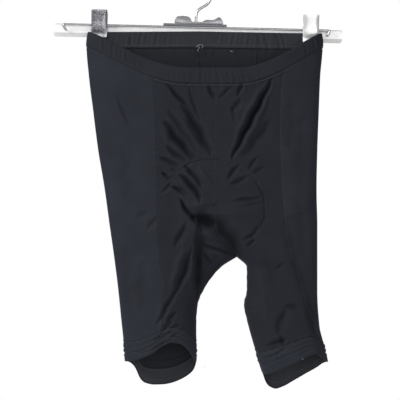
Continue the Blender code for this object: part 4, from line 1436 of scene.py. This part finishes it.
def spring(end):
    """A coil round the rod whose two legs press the handles apart."""
    start = CLIP_CENTRES[end] - SPRING_LENGTH / 2
    leg_top = WIRE_HEIGHT + SPRING_LEG_UP
    steps = SPRING_TURNS * SPRING_STEPS
    path = [(start, HANG_Y - SPRING_LEG_OUT, leg_top)]
    for i in range(steps + 1):
        turn = 2 * math.pi * i / SPRING_STEPS
        y, z = SPRING_RADIUS * math.cos(turn), SPRING_RADIUS * math.sin(turn)
        path.append((start + SPRING_LENGTH * i / steps, HANG_Y - y, WIRE_HEIGHT + z))
    path.append((start + SPRING_LENGTH, HANG_Y + SPRING_LEG_OUT, leg_top))
    return baked(rod_curve(f"clip_{end}_spring_coil", [path], SPRING_WIRE, 2))


clips = []
for end in (LEFT, RIGHT):
    for side in (FRONT, BACK):
        node = f"clip_{end}_{WALL_NAMES[side]}"
        clips.append((jaw_plate(side, end), ear_plates(side, end), node))
springs = {end: spring(end) for end in (LEFT, RIGHT)}
print("clip plates:", len(clips))

# %% [markdown]
# ## Stitches
#
# Every seam is held by two rows of stitches, one on each side, and the bands have rows of their
# own. A stitch is one short bead of thread, and there are thousands, so Geometry Nodes sets them
# along a line: the line is cut into points a pitch apart, a bead is turned to the line's direction
# at each, and the result is made real and given its material.


# %% The node group that sews
def sewing_tree():
    tree = bpy.data.node_groups.new("Sewing", "GeometryNodeTree")
    inputs = {}
    tree.interface.new_socket("Line", in_out="INPUT", socket_type="NodeSocketGeometry")
    sizes = {"Pitch": 2.4, "Stitch Length": 1.9, "Thread Radius": 0.22}
    for label, value in sizes.items():
        socket = tree.interface.new_socket(label, in_out="INPUT", socket_type="NodeSocketFloat")
        socket.default_value = value * MM
        inputs[label] = socket.identifier
    socket = tree.interface.new_socket("Thread", in_out="INPUT", socket_type="NodeSocketMaterial")
    inputs["Thread"] = socket.identifier
    tree.interface.new_socket("Stitches", in_out="OUTPUT", socket_type="NodeSocketGeometry")

    def add(kind, **settings):
        node = tree.nodes.new(kind)
        for key, value in settings.items():
            setattr(node, key, value)
        return node

    start, end = add("NodeGroupInput"), add("NodeGroupOutput")
    points = add("GeometryNodeCurveToPoints", mode="LENGTH")
    turned = add("FunctionNodeAlignRotationToVector", axis="Z")
    bead = add("GeometryNodeMeshUVSphere")
    bead.inputs["Segments"].default_value = 6
    bead.inputs["Rings"].default_value = 4
    bead.inputs["Radius"].default_value = 1
    half = add("ShaderNodeMath", operation="MULTIPLY")
    half.inputs[1].default_value = 0.5
    size = add("ShaderNodeCombineXYZ")
    placed = add("GeometryNodeInstanceOnPoints")
    real = add("GeometryNodeRealizeInstances")
    coloured = add("GeometryNodeSetMaterial")
    join = tree.links.new
    join(start.outputs["Line"], points.inputs["Curve"])
    join(start.outputs["Pitch"], points.inputs["Length"])
    join(points.outputs["Tangent"], turned.inputs["Vector"])
    join(start.outputs["Stitch Length"], half.inputs[0])
    join(start.outputs["Thread Radius"], size.inputs["X"])
    join(start.outputs["Thread Radius"], size.inputs["Y"])
    join(half.outputs[0], size.inputs["Z"])
    join(points.outputs["Points"], placed.inputs["Points"])
    join(bead.outputs["Mesh"], placed.inputs["Instance"])
    join(turned.outputs["Rotation"], placed.inputs["Rotation"])
    join(size.outputs["Vector"], placed.inputs["Scale"])
    join(placed.outputs["Instances"], real.inputs["Geometry"])
    join(real.outputs["Geometry"], coloured.inputs["Geometry"])
    join(start.outputs["Thread"], coloured.inputs["Material"])
    join(coloured.outputs["Geometry"], end.inputs["Stitches"])
    return tree, inputs


SEWING, SEWING_INPUTS = sewing_tree()


def sew(name, lines, thread, pitch=2.4, length=1.9, radius=0.22):
    """Stitches along lines of points in millimetres, baked to one plain mesh."""
    curve = bpy.data.curves.new(name, "CURVE")
    curve.dimensions = "3D"
    for points in lines:
        spline = curve.splines.new("POLY")
        spline.points.add(len(points) - 1)
        flat = np.concatenate([np.asarray(points) * MM, np.ones((len(points), 1))], axis=1)
        spline.points.foreach_set("co", flat.ravel())
    line = link(name, curve)
    nodes = line.modifiers.new("sewing", "NODES")
    nodes.node_group = SEWING
    nodes[SEWING_INPUTS["Pitch"]] = pitch * MM
    nodes[SEWING_INPUTS["Stitch Length"]] = length * MM
    nodes[SEWING_INPUTS["Thread Radius"]] = radius * MM
    nodes[SEWING_INPUTS["Thread"]] = thread
    mesh = evaluated(line)
    mesh.name = name
    mesh.shade_smooth()
    return link(name, mesh)


print("the sewing group's nodes:", len(SEWING.nodes))

# %% [markdown]
# ## Materials
#
# One small class wraps a node's output, so that shader maths reads as ordinary arithmetic. Only
# what changes over a surface is linked; a value that is the same everywhere is set on the shader.

# %% Shader arithmetic
MIX_SHARE, MIX_FIRST, MIX_SECOND, MIX_RESULT = 0, 6, 7, 2


class Signal:
    """A node's output, which adds and multiplies like a number."""

    def __init__(self, finish, socket):
        self.finish = finish
        self.socket = socket

    def maths(self, operation, first, second=0.0):
        return self.finish.node("ShaderNodeMath", {"operation": operation}, {0: first, 1: second})

    def __add__(self, other):
        return self.maths("ADD", self, other)

    def __radd__(self, other):
        return self.maths("ADD", other, self)

    def __rsub__(self, other):
        return self.maths("SUBTRACT", other, self)

    def __mul__(self, other):
        return self.maths("MULTIPLY", self, other)

    def __rmul__(self, other):
        return self.maths("MULTIPLY", other, self)

    def sine(self):
        return self.maths("SINE", self)

    def within(self, low, high):
        """0 at low and 1 at high, and held there outside them."""
        values = {"Value": self, "From Min": low, "From Max": high}
        return self.finish.node("ShaderNodeMapRange", {"clamp": True}, values)


class Finish:
    """A material that is built node by node round one Principled shader."""

    def __init__(self, name, **constants):
        self.material = bpy.data.materials.new(name)
        self.material.use_nodes = True
        self.tree = self.material.node_tree
        self.tree.nodes.clear()
        self.shader = self.tree.nodes.new("ShaderNodeBsdfPrincipled")
        output = self.tree.nodes.new("ShaderNodeOutputMaterial")
        self.tree.links.new(self.shader.outputs[0], output.inputs[0])
        for label, value in constants.items():
            self.shader.inputs[label.replace("_", " ")].default_value = value

    def node(self, kind, settings, inputs, output=0):
        made = self.tree.nodes.new(kind)
        for key, value in settings.items():
            setattr(made, key, value)
        for key, value in inputs.items():
            if isinstance(value, Signal):
                self.tree.links.new(value.socket, made.inputs[key])
            else:
                made.inputs[key].default_value = value
        return Signal(self, made.outputs[output])

    def place(self):
        return self.node("ShaderNodeTexCoord", {}, {}, "Object")

    def cloth_way(self):
        """Metres across and along the cloth."""
        uv = self.node("ShaderNodeUVMap", {"uv_map": "cloth"}, {})
        across = self.node("ShaderNodeSeparateXYZ", {}, {0: uv}, "X")
        return across, Signal(self, across.socket.node.outputs["Y"])

    def noise(self, scale, detail, where=None, roughness=0.5):
        values = {"Scale": scale, "Detail": detail, "Roughness": roughness}
        return self.node("ShaderNodeTexNoise", {}, {"Vector": where or self.place(), **values})

    def attribute(self, name):
        return self.node("ShaderNodeAttribute", {"attribute_name": name}, {}, "Fac")

    def mix(self, share, first, second):
        values = {MIX_SHARE: share, MIX_FIRST: first, MIX_SECOND: second}
        return self.node("ShaderNodeMix", {"data_type": "RGBA"}, values, MIX_RESULT)

    def linked(self, label, value):
        self.tree.links.new(value.socket, self.shader.inputs[label])

    def raised(self, height, distance, strength):
        values = {"Height": height, "Distance": distance, "Strength": strength}
        self.linked("Normal", self.node("ShaderNodeBump", {}, values))


def scaled(colour, factor):
    return tuple(part * factor for part in colour)


def shade(colour, factor):
    """The same, with the opacity that a colour socket wants."""
    return (*scaled(colour, factor), 1.0)


# %% [markdown]
# The knit is so fine that single loops are half a millimetre wide. They are bump, in wales across
# and courses along the cloth, while slow noise makes the dye and the stretch a little uneven. The
# two attributes of the cloth paint shade into its colour: the depth of a fold darkens the bottoms of
# the creases as painted crease shade, and the inside takes its own colour, on the panels a darker
# one that is painted shade for the dim inside of the garment.

# %% Cloth finishes
LYCRA = (0.0221, 0.0246, 0.0332)
# The panels' inside is the same knit made darker, painted shade for the dim inside of the garment
LYCRA_INSIDE = (0.0176, 0.0188, 0.0232)
BAND_INSIDE = (0.0315, 0.0328, 0.0390)
GRIPPER = (0.034, 0.0365, 0.042)
PAD_CLOTH = (0.028, 0.029, 0.036)
DYE_LOW, DYE_HIGH = 0.84, 1.16
# Painted crease shade: the colour falls to CREASE_SHADE of itself at DEEP_FOLD and is whole from
# NO_FOLD
CREASE_SHADE = 0.26
DEEP_FOLD, NO_FOLD = -6.2, 0.5
TAU = 2 * math.pi


def knit(name, colour, inside=LYCRA_INSIDE, wale=0.62 * MM, course=0.52 * MM, nap=0.04, ribs=None):
    finish = Finish(
        name,
        IOR=1.45,
        Specular_IOR_Level=0.12,
        Sheen_Weight=nap,
        Sheen_Roughness=0.55,
        Sheen_Tint=(0.72, 0.78, 1.0, 1.0),
    )
    across, along = finish.cloth_way()
    slow = finish.noise(26, 3)
    fine = finish.noise(900, 2)
    tone = slow.within(0.3, 0.7) * 0.65 + fine.within(0.25, 0.75) * 0.35
    outside = finish.mix(tone, shade(colour, DYE_LOW), shade(colour, DYE_HIGH))
    within = finish.mix(tone, shade(inside, DYE_LOW), shade(inside, DYE_HIGH))
    either = finish.mix(finish.attribute("inside"), outside, within)
    # Painted shade: the deeper a point lies in a fold, the darker its colour
    raised = finish.attribute("fold").within(DEEP_FOLD, NO_FOLD)
    finish.linked("Base Color", finish.mix(raised, shade(colour, CREASE_SHADE), either))
    finish.linked("Roughness", 0.6 + 0.12 * slow)
    wales = (across * (TAU / wale)).sine()
    courses = (along * (TAU / course) + wales * 0.8).sine()
    height = wales * 0.5 + courses * 0.35 + slow * 0.8
    if ribs:
        height = height + (along * (TAU / ribs)).sine() * 1.6
    finish.raised(height, 0.06 * MM, 0.55)
    return finish.material


lycra = knit("lycra", LYCRA)
# Painted shade: the front panels and the hips take darker copies of the same knit, for the less
# light that reaches them
lycra_front_painted_shade = knit("lycra_front_painted_shade", scaled(LYCRA, 0.75))
lycra_hip_painted_shade = knit("lycra_hip_painted_shade", scaled(LYCRA, 0.98))
# Painted shade: the band's cover is the panels' knit made darker, for its shaded front
waist_elastic = knit("waist_elastic", scaled(LYCRA, 0.83), BAND_INSIDE, 1.3 * MM, 0.8 * MM)
gripper_rubber = knit("gripper_rubber", GRIPPER, GRIPPER, ribs=TAPE_RIB_PITCH * MM, nap=0.03)
pad_cloth = knit("pad_cloth", PAD_CLOTH, PAD_CLOTH, 0.9 * MM, 0.9 * MM, nap=0.1)
print("cloth finishes:", lycra.name, waist_elastic.name, gripper_rubber.name, pad_cloth.name)


# %% Thread finishes
def thread_finish(name, colour):
    finish = Finish(name, Specular_IOR_Level=0.25, Sheen_Weight=0.1)
    dye = finish.mix(finish.noise(700, 2), shade(colour, 0.8), shade(colour, 1.2))
    finish.linked("Base Color", dye)
    finish.linked("Roughness", 0.5 + 0.1 * finish.noise(300, 1))
    finish.raised(finish.noise(2600, 2), 0.05 * MM, 0.6)
    return finish.material


dark_thread = thread_finish("dark_thread", (0.030, 0.032, 0.040))
grey_thread = thread_finish("grey_thread", (0.085, 0.088, 0.098))
pad_thread = thread_finish("pad_thread", (0.050, 0.053, 0.065))
pale_thread = thread_finish("pale_thread", (0.52, 0.52, 0.54))
tape_thread = thread_finish("tape_thread", (0.10, 0.10, 0.10))
print("thread finishes:", dark_thread.name, grey_thread.name, pad_thread.name)

# %% [markdown]
# The bar is pale lacquered metal, drawn through a die, so its fine lines run along it. The rod and
# the hook are bright plated steel, the clips and the bracket are plated sheet with a fine speckle,
# and the plate under the hook is darker. The left clip's plating is painted darker, a painted
# reflection of the dark it faces at its angle. Handling leaves each a little duller in places,
# which noise in the roughness gives.


# %% Metal finishes
def metal(name, colour, metallic, rough, uneven, along_lines=0.0, speckle=0.0):
    finish = Finish(name, Metallic=metallic, IOR=1.5)
    place = finish.place()
    smears = finish.noise(34, 4, place, 0.6)
    tone = smears.within(0.3, 0.7) * (1 - speckle)
    if speckle:
        tone = tone + finish.noise(520, 3, place, 0.7).within(0.4, 0.6) * speckle
    plating = finish.mix(tone, shade(colour, 0.93 - 0.6 * speckle), shade(colour, 1.05))
    finish.linked("Base Color", plating)
    finish.linked("Roughness", rough + uneven * smears)
    if along_lines:
        drawn_out = {"Vector": place, "Scale": (8.0, 900.0, 900.0)}
        drawn = finish.node("ShaderNodeMapping", {}, drawn_out)
        finish.raised(finish.noise(1.0, 2, drawn), 0.03 * MM, along_lines)
    else:
        finish.raised(finish.noise(420, 3, place), 0.02 * MM, 0.25)
    return finish.material


satin_bar = metal("satin_bar", (0.91, 0.91, 0.92), 0.34, 0.32, 0.1, along_lines=0.25)
bright_plate = metal("bright_plate", (0.50, 0.50, 0.51), 0.9, 0.14, 0.16)
bracket_plate = metal("bracket_plate", (0.40, 0.40, 0.42), 0.85, 0.26, 0.14, speckle=0.5)
clip_plates = {
    # Painted reflection: the left clip is the same plated sheet made darker, for the dark it
    # reflects at its angle; its speckle is wear
    LEFT: metal("worn_clip_plate", (0.50, 0.50, 0.54), 0.8, 0.24, 0.14, speckle=1.0),
    RIGHT: metal("clip_plate", (0.95, 0.95, 0.96), 0.5, 0.24, 0.1, speckle=0.08),
}
dark_plate = metal("dark_plate", (0.16, 0.165, 0.18), 0.9, 0.26, 0.2)
print("metal finishes:", satin_bar.name, bright_plate.name, dark_plate.name)

# %% [markdown]
# ## Sewing it together
#
# The lines of stitches are read off the panels' own edges, so a row stays the same distance from
# its seam however the cloth folds.

# %% Rows of stitches
THREAD_LIFT = 0.10
BESIDE_SEAM = 1.7
WAIST_STITCHES = (16.6, 19.2)
TAPE_STITCHES = (1.6, 13.2)
# Pitch and length of a stitch, and the thread's radius where it isn't the usual one
BAND_STITCH = (2.2, 1.7)
TAPE_STITCH = (3.2, 2.2)
RIDGE_STITCH = (2.5, 2.2, 0.24)
PAD_STITCH = (2.6, 2.1, 0.26)
INNER_STITCH = (2.8, 2.2, 0.3)


def thread_grid(node, lift=THREAD_LIFT):
    """The points of a piece's cloth, lifted for the thread that lies on them."""
    grid, normal = grids[node]
    return grid + normal * lift + HANG


def beside_seam(node, at_start):
    """A line down a panel, a fixed distance in from one of its two seams."""
    lifted = thread_grid(node)
    if not at_start:
        lifted = lifted[:, ::-1]
    line = []
    for row in lifted[2:-1]:
        way = way_along(row)
        line.append([np.interp(BESIDE_SEAM, way, row[:, i]) for i in range(3)])
    return np.array(line)


def round_band(node, off, lift=THREAD_LIFT):
    """A closed line round a band, a fixed distance below its upper edge."""
    lifted = thread_grid(node, lift)
    way = distances(grids[node][0])[1][:, 0]
    row = min(int(np.searchsorted(way, off)), len(way) - 1)
    share = (off - way[row - 1]) / (way[row] - way[row - 1])
    line = lifted[row - 1] * (1 - share) + lifted[row] * share
    return np.concatenate([line, line[:1]])


threads = {}
for kind in PANEL_KINDS:
    for half in (LEFT, RIGHT):
        node = f"{kind}_panel_{half}"
        rows = [beside_seam(node, True), beside_seam(node, False)]
        threads[node] = sew(f"seam_threads_{kind}_{half}", rows, dark_thread)
rows = [round_band("waistband", off) for off in WAIST_STITCHES]
threads["waistband"] = sew("waistband_threads", rows, dark_thread, *BAND_STITCH)
for half in (LEFT, RIGHT):
    node = f"hem_{half}"
    rows = [round_band(node, off) for off in HEM_ROWS]
    threads[node] = sew(f"hem_threads_{half}", rows, dark_thread, *BAND_STITCH)
    node = f"leg_gripper_{half}"
    rows = [round_band(node, off, -THREAD_LIFT) for off in TAPE_STITCHES]
    threads[node] = sew(f"tape_threads_{half}", rows, tape_thread, *TAPE_STITCH)
ridge_row = int(round(RIDGE_BELOW_BAND / (panel_levels[1] - panel_levels[0])))
rows = [thread_grid(f"front_panel_{half}")[ridge_row, 3:-3] for half in (LEFT, RIGHT)]
threads["below_band"] = sew("below_band_threads", rows, grey_thread, *RIDGE_STITCH)
print("stitch meshes:", len(threads), "faces:", sum(len(t.data.polygons) for t in threads.values()))

# %% [markdown]
# The pad's line is known only as it is seen from the front, so each of its points is dropped onto
# the cloth with a ray along Y. The inside of the waistband shows its own pale row of stitches, and
# a few cut ends of thread were left hanging at the seams, which tell that this is sewn work.

# %% Stitches of the pad and the band's inside
RAY_START = 0.2
BAND_INSIDE_ROW = 18.4


def on_cloth(line, wall):
    """Points seen from the front, put on the outside of the front or back panels."""
    trees = []
    for half in (LEFT, RIGHT):
        mesh = cloth[f"{WALL_NAMES[wall]}_panel_{half}"].data
        corners = [vertex.co for vertex in mesh.vertices]
        trees.append(BVHTree.FromPolygons(corners, [tuple(face.vertices) for face in mesh.polygons]))
    points = []
    for x, z in line:
        start = Vector((x * MM, wall * RAY_START, z * MM))
        hits = [tree.ray_cast(start, Vector((0, -wall, 0))) for tree in trees]
        reached = [hit for hit in hits if hit[0] is not None]
        if reached:
            nearest = min(reached, key=lambda hit: hit[3])[0] / MM
            points.append((nearest.x, nearest.y + wall * THREAD_LIFT, nearest.z))
    return points


for wall, word in WALL_NAMES.items():
    rows = [on_cloth(PAD_LINES[wall], wall)]
    threads[f"pad_{word}"] = sew(f"pad_threads_{word}", rows, pad_thread, *PAD_STITCH)
rows = [round_band("waistband", BAND_INSIDE_ROW, -WAIST_WALL - THREAD_LIFT)]
threads["band_inside"] = sew("band_inside_threads", rows, grey_thread, *INNER_STITCH)
print("pad stitches:", len(threads["pad_front"].data.polygons), "faces")

# %% Loose ends of thread
LOOSE_ENDS = (
    (
        (-2, -15, -96),
        (1, -17, -93.5),
        (4, -17, -92.5),
        (7.5, -16.5, -93),
        (8.5, -16, -95),
        (6.5, -16, -97),
    ),
    ((1, -16, -95), (3.5, -18, -96.5), (2, -17.5, -98.5), (0.5, -17, -100.5), (1.5, -16.5, -102)),
    ((47, -15, -100.5), (48.5, -17, -102.3), (50.5, -16.5, -102)),
    ((9, -16, -543), (11, -17.5, -544.5), (12.5, -17, -543.5)),
    ((145.5, -40.5, -529), (147, -42, -531), (148, -41.5, -531.5)),
)
LOOSE_RADIUS = 0.17

paths = [smooth_path(path, 6) for path in LOOSE_ENDS]
loose_ends = baked(rod_curve("loose_ends", paths, LOOSE_RADIUS, 1, tilted=False))
print("loose ends:", len(LOOSE_ENDS))

# %% [markdown]
# ## Dressing the solids
#
# Every piece takes its finish, rides on the one body and stands for its solid. Each sheet of cloth
# also prints the size it was cut to, in metres, and the area its cloth measures; the cut's own area
# is listed where the cut isn't a rectangle.

# %% Finishes, bodies and cuts
CLOTH_DRESS = {
    "front_panel": (lycra_front_painted_shade, "lycra"),
    "side_panel": (lycra_hip_painted_shade, "lycra"),
    "back_panel": (lycra, "lycra"),
    "hem": (lycra, "lycra"),
    "waistband": (waist_elastic, "waist_elastic"),
    "leg_gripper": (gripper_rubber, "gripper"),
    "seat_pad": (pad_cloth, "pad_cloth"),
}
PLAIN_THREAD = (dark_thread, "lycra")
THREAD_DRESS = {
    "waistband": (dark_thread, "waist_elastic"),
    "band_inside": (grey_thread, "waist_elastic"),
    "leg_gripper": (tape_thread, "gripper"),
    "pad_front": (pad_thread, "lycra"),
    "pad_back": (pad_thread, "lycra"),
    "below_band": (grey_thread, "lycra"),
}
# Node, width, length, area of the cut where it isn't a rectangle, and how the sheet is held
CUTS = (
    ("front_panel_left", 0.126, 0.400, 0.0320, "hung"),
    ("front_panel_right", 0.113, 0.400, 0.0370, "hung"),
    ("side_panel_left", 0.178, 0.415, 0.0610, "hung"),
    ("side_panel_right", 0.168, 0.425, 0.0560, "hung"),
    ("back_panel_left", 0.113, 0.460, 0.0380, "hung"),
    ("back_panel_right", 0.082, 0.460, 0.0315, "hung"),
    ("waistband", 0.700, 0.0225, None, "hung"),
    ("hem_left", 0.300, 0.0255, None, "stretched"),
    ("hem_right", 0.268, 0.0295, None, "stretched"),
    ("leg_gripper_left", 0.299, 0.0150, None, "stretched"),
    ("leg_gripper_right", 0.267, 0.0170, None, "stretched"),
)


def kind_of(node):
    """A node's name without its side."""
    return node.removesuffix("_left").removesuffix("_right")


def dress(piece, finish, slot, *nodes):
    piece.data.materials.clear()
    piece.data.materials.append(finish)
    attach(piece, "root")
    if nodes:
        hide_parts(*nodes)


for node, piece in cloth.items():
    dress(piece, *CLOTH_DRESS[kind_of(node)], node)
for node, piece in threads.items():
    dress(piece, *THREAD_DRESS.get(kind_of(node), PLAIN_THREAD))
dress(loose_ends, pale_thread, "lycra")

dress(bar, satin_bar, "bar_finish", "hanger_bar")
dress(clip_rod, bright_plate, "chrome", "clip_wire")
dress(hook, bright_plate, "chrome", "hook")
dress(plate, dark_plate, "dark_steel", "hook_plate")
dress(bracket, bracket_plate, "chrome", "hook_bracket")
for jaw, ears, node in clips:
    finish = clip_plates[node.split("_")[1]]
    dress(jaw, finish, "chrome", node)
    dress(ears, finish, "chrome")
for end, coil in springs.items():
    dress(coil, dark_plate, "dark_steel", f"clip_spring_{end}")

for node, width, length, area, held in CUTS:
    piece = cloth[node]
    mates = [threads[node]] if node in threads else []
    measured = sum(face.area for face in piece.data.polygons) / 2
    print(node, "cut", width, "x", length, "measured area", round(measured, 4))

# %% [markdown]
# ## Light and floor
#
# Shop pictures of this kind are lit by large soft boxes, the stronger one at the left, against
# white. The world is white to the camera and dimmer as a light, so that folds keep their shade. A
# pale floor lies below and fades out with distance, because the picture shows none.

# %% Soft boxes
# Name, place, what it points at, width and height in metres, and watts
SOFT_BOXES = (
    ("key_light", (-1.7, -1.1, 0.9), (0, 0, -0.32), 0.7, 0.9, 40),
    ("front_card", (0, -3.4, 0.2), (0, 0, -0.1), 2.4, 1.2, 20),
    ("clip_card", (0.44, -1.6, -0.52), (0.16, 0, -0.06), 0.6, 0.6, 1.9),
    ("fill_light", (1.6, -2.0, 0.2), (0, 0, -0.32), 1.2, 1.4, 10),
    ("back_light", (-0.6, 1.9, 0.4), (0, 0, -0.32), 1.4, 1.4, 14),
)

for name, place, aim, width, height, power in SOFT_BOXES:
    lamp = bpy.data.lights.new(name, "AREA")
    lamp.shape = "RECTANGLE"
    lamp.size, lamp.size_y = width, height
    lamp.energy = power
    box = link(name, lamp)
    box.location = place
    box.rotation_euler = (Vector(aim) - Vector(place)).to_track_quat("-Z", "Y").to_euler()
print("soft boxes:", len(SOFT_BOXES))

# %% White world
WORLD_LIGHT, WORLD_SEEN = 0.24, 1.0

world = bpy.data.worlds.new("white_room")
bpy.context.scene.world = world
world.use_nodes = True
world.node_tree.nodes.clear()
rays = world.node_tree.nodes.new("ShaderNodeLightPath")
strength = world.node_tree.nodes.new("ShaderNodeMapRange")
strength.inputs["To Min"].default_value = WORLD_LIGHT
strength.inputs["To Max"].default_value = WORLD_SEEN
room = world.node_tree.nodes.new("ShaderNodeBackground")
sky = world.node_tree.nodes.new("ShaderNodeOutputWorld")
world.node_tree.links.new(rays.outputs["Is Camera Ray"], strength.inputs["Value"])
world.node_tree.links.new(strength.outputs[0], room.inputs["Strength"])
world.node_tree.links.new(room.outputs[0], sky.inputs["Surface"])
room.inputs["Color"].default_value = (1, 1, 1, 1)
bpy.context.scene.view_settings.view_transform = "Standard"
print("world:", world.name)

# %% Floor
FLOOR_HEIGHT, FLOOR_RADIUS, FLOOR_CORNERS = -0.75, 1.3, 64
FADE_FROM, FADE_TO = 0.5, 1.2

build = bmesh.new()
bmesh.ops.create_circle(build, cap_ends=True, segments=FLOOR_CORNERS, radius=FLOOR_RADIUS)
for vertex in build.verts:
    vertex.co.z = FLOOR_HEIGHT
floor_mesh = bpy.data.meshes.new("floor")
build.to_mesh(floor_mesh)
build.free()
floor = link("floor", floor_mesh)
pale = Finish("pale_floor", Roughness=0.8, Specular_IOR_Level=0.2)
level = {0: pale.place(), 1: (1, 1, 0)}
off_centre = pale.node("ShaderNodeVectorMath", {"operation": "MULTIPLY"}, level)
distance = pale.node("ShaderNodeVectorMath", {"operation": "LENGTH"}, {0: off_centre}, "Value")
paint = pale.mix(pale.noise(9, 2), (0.86, 0.86, 0.86, 1), (0.9, 0.9, 0.9, 1))
pale.linked("Base Color", paint)
pale.linked("Alpha", 1 - distance.within(FADE_FROM, FADE_TO))
floor.data.materials.append(pale.material)
print("floor at", FLOOR_HEIGHT, "m")
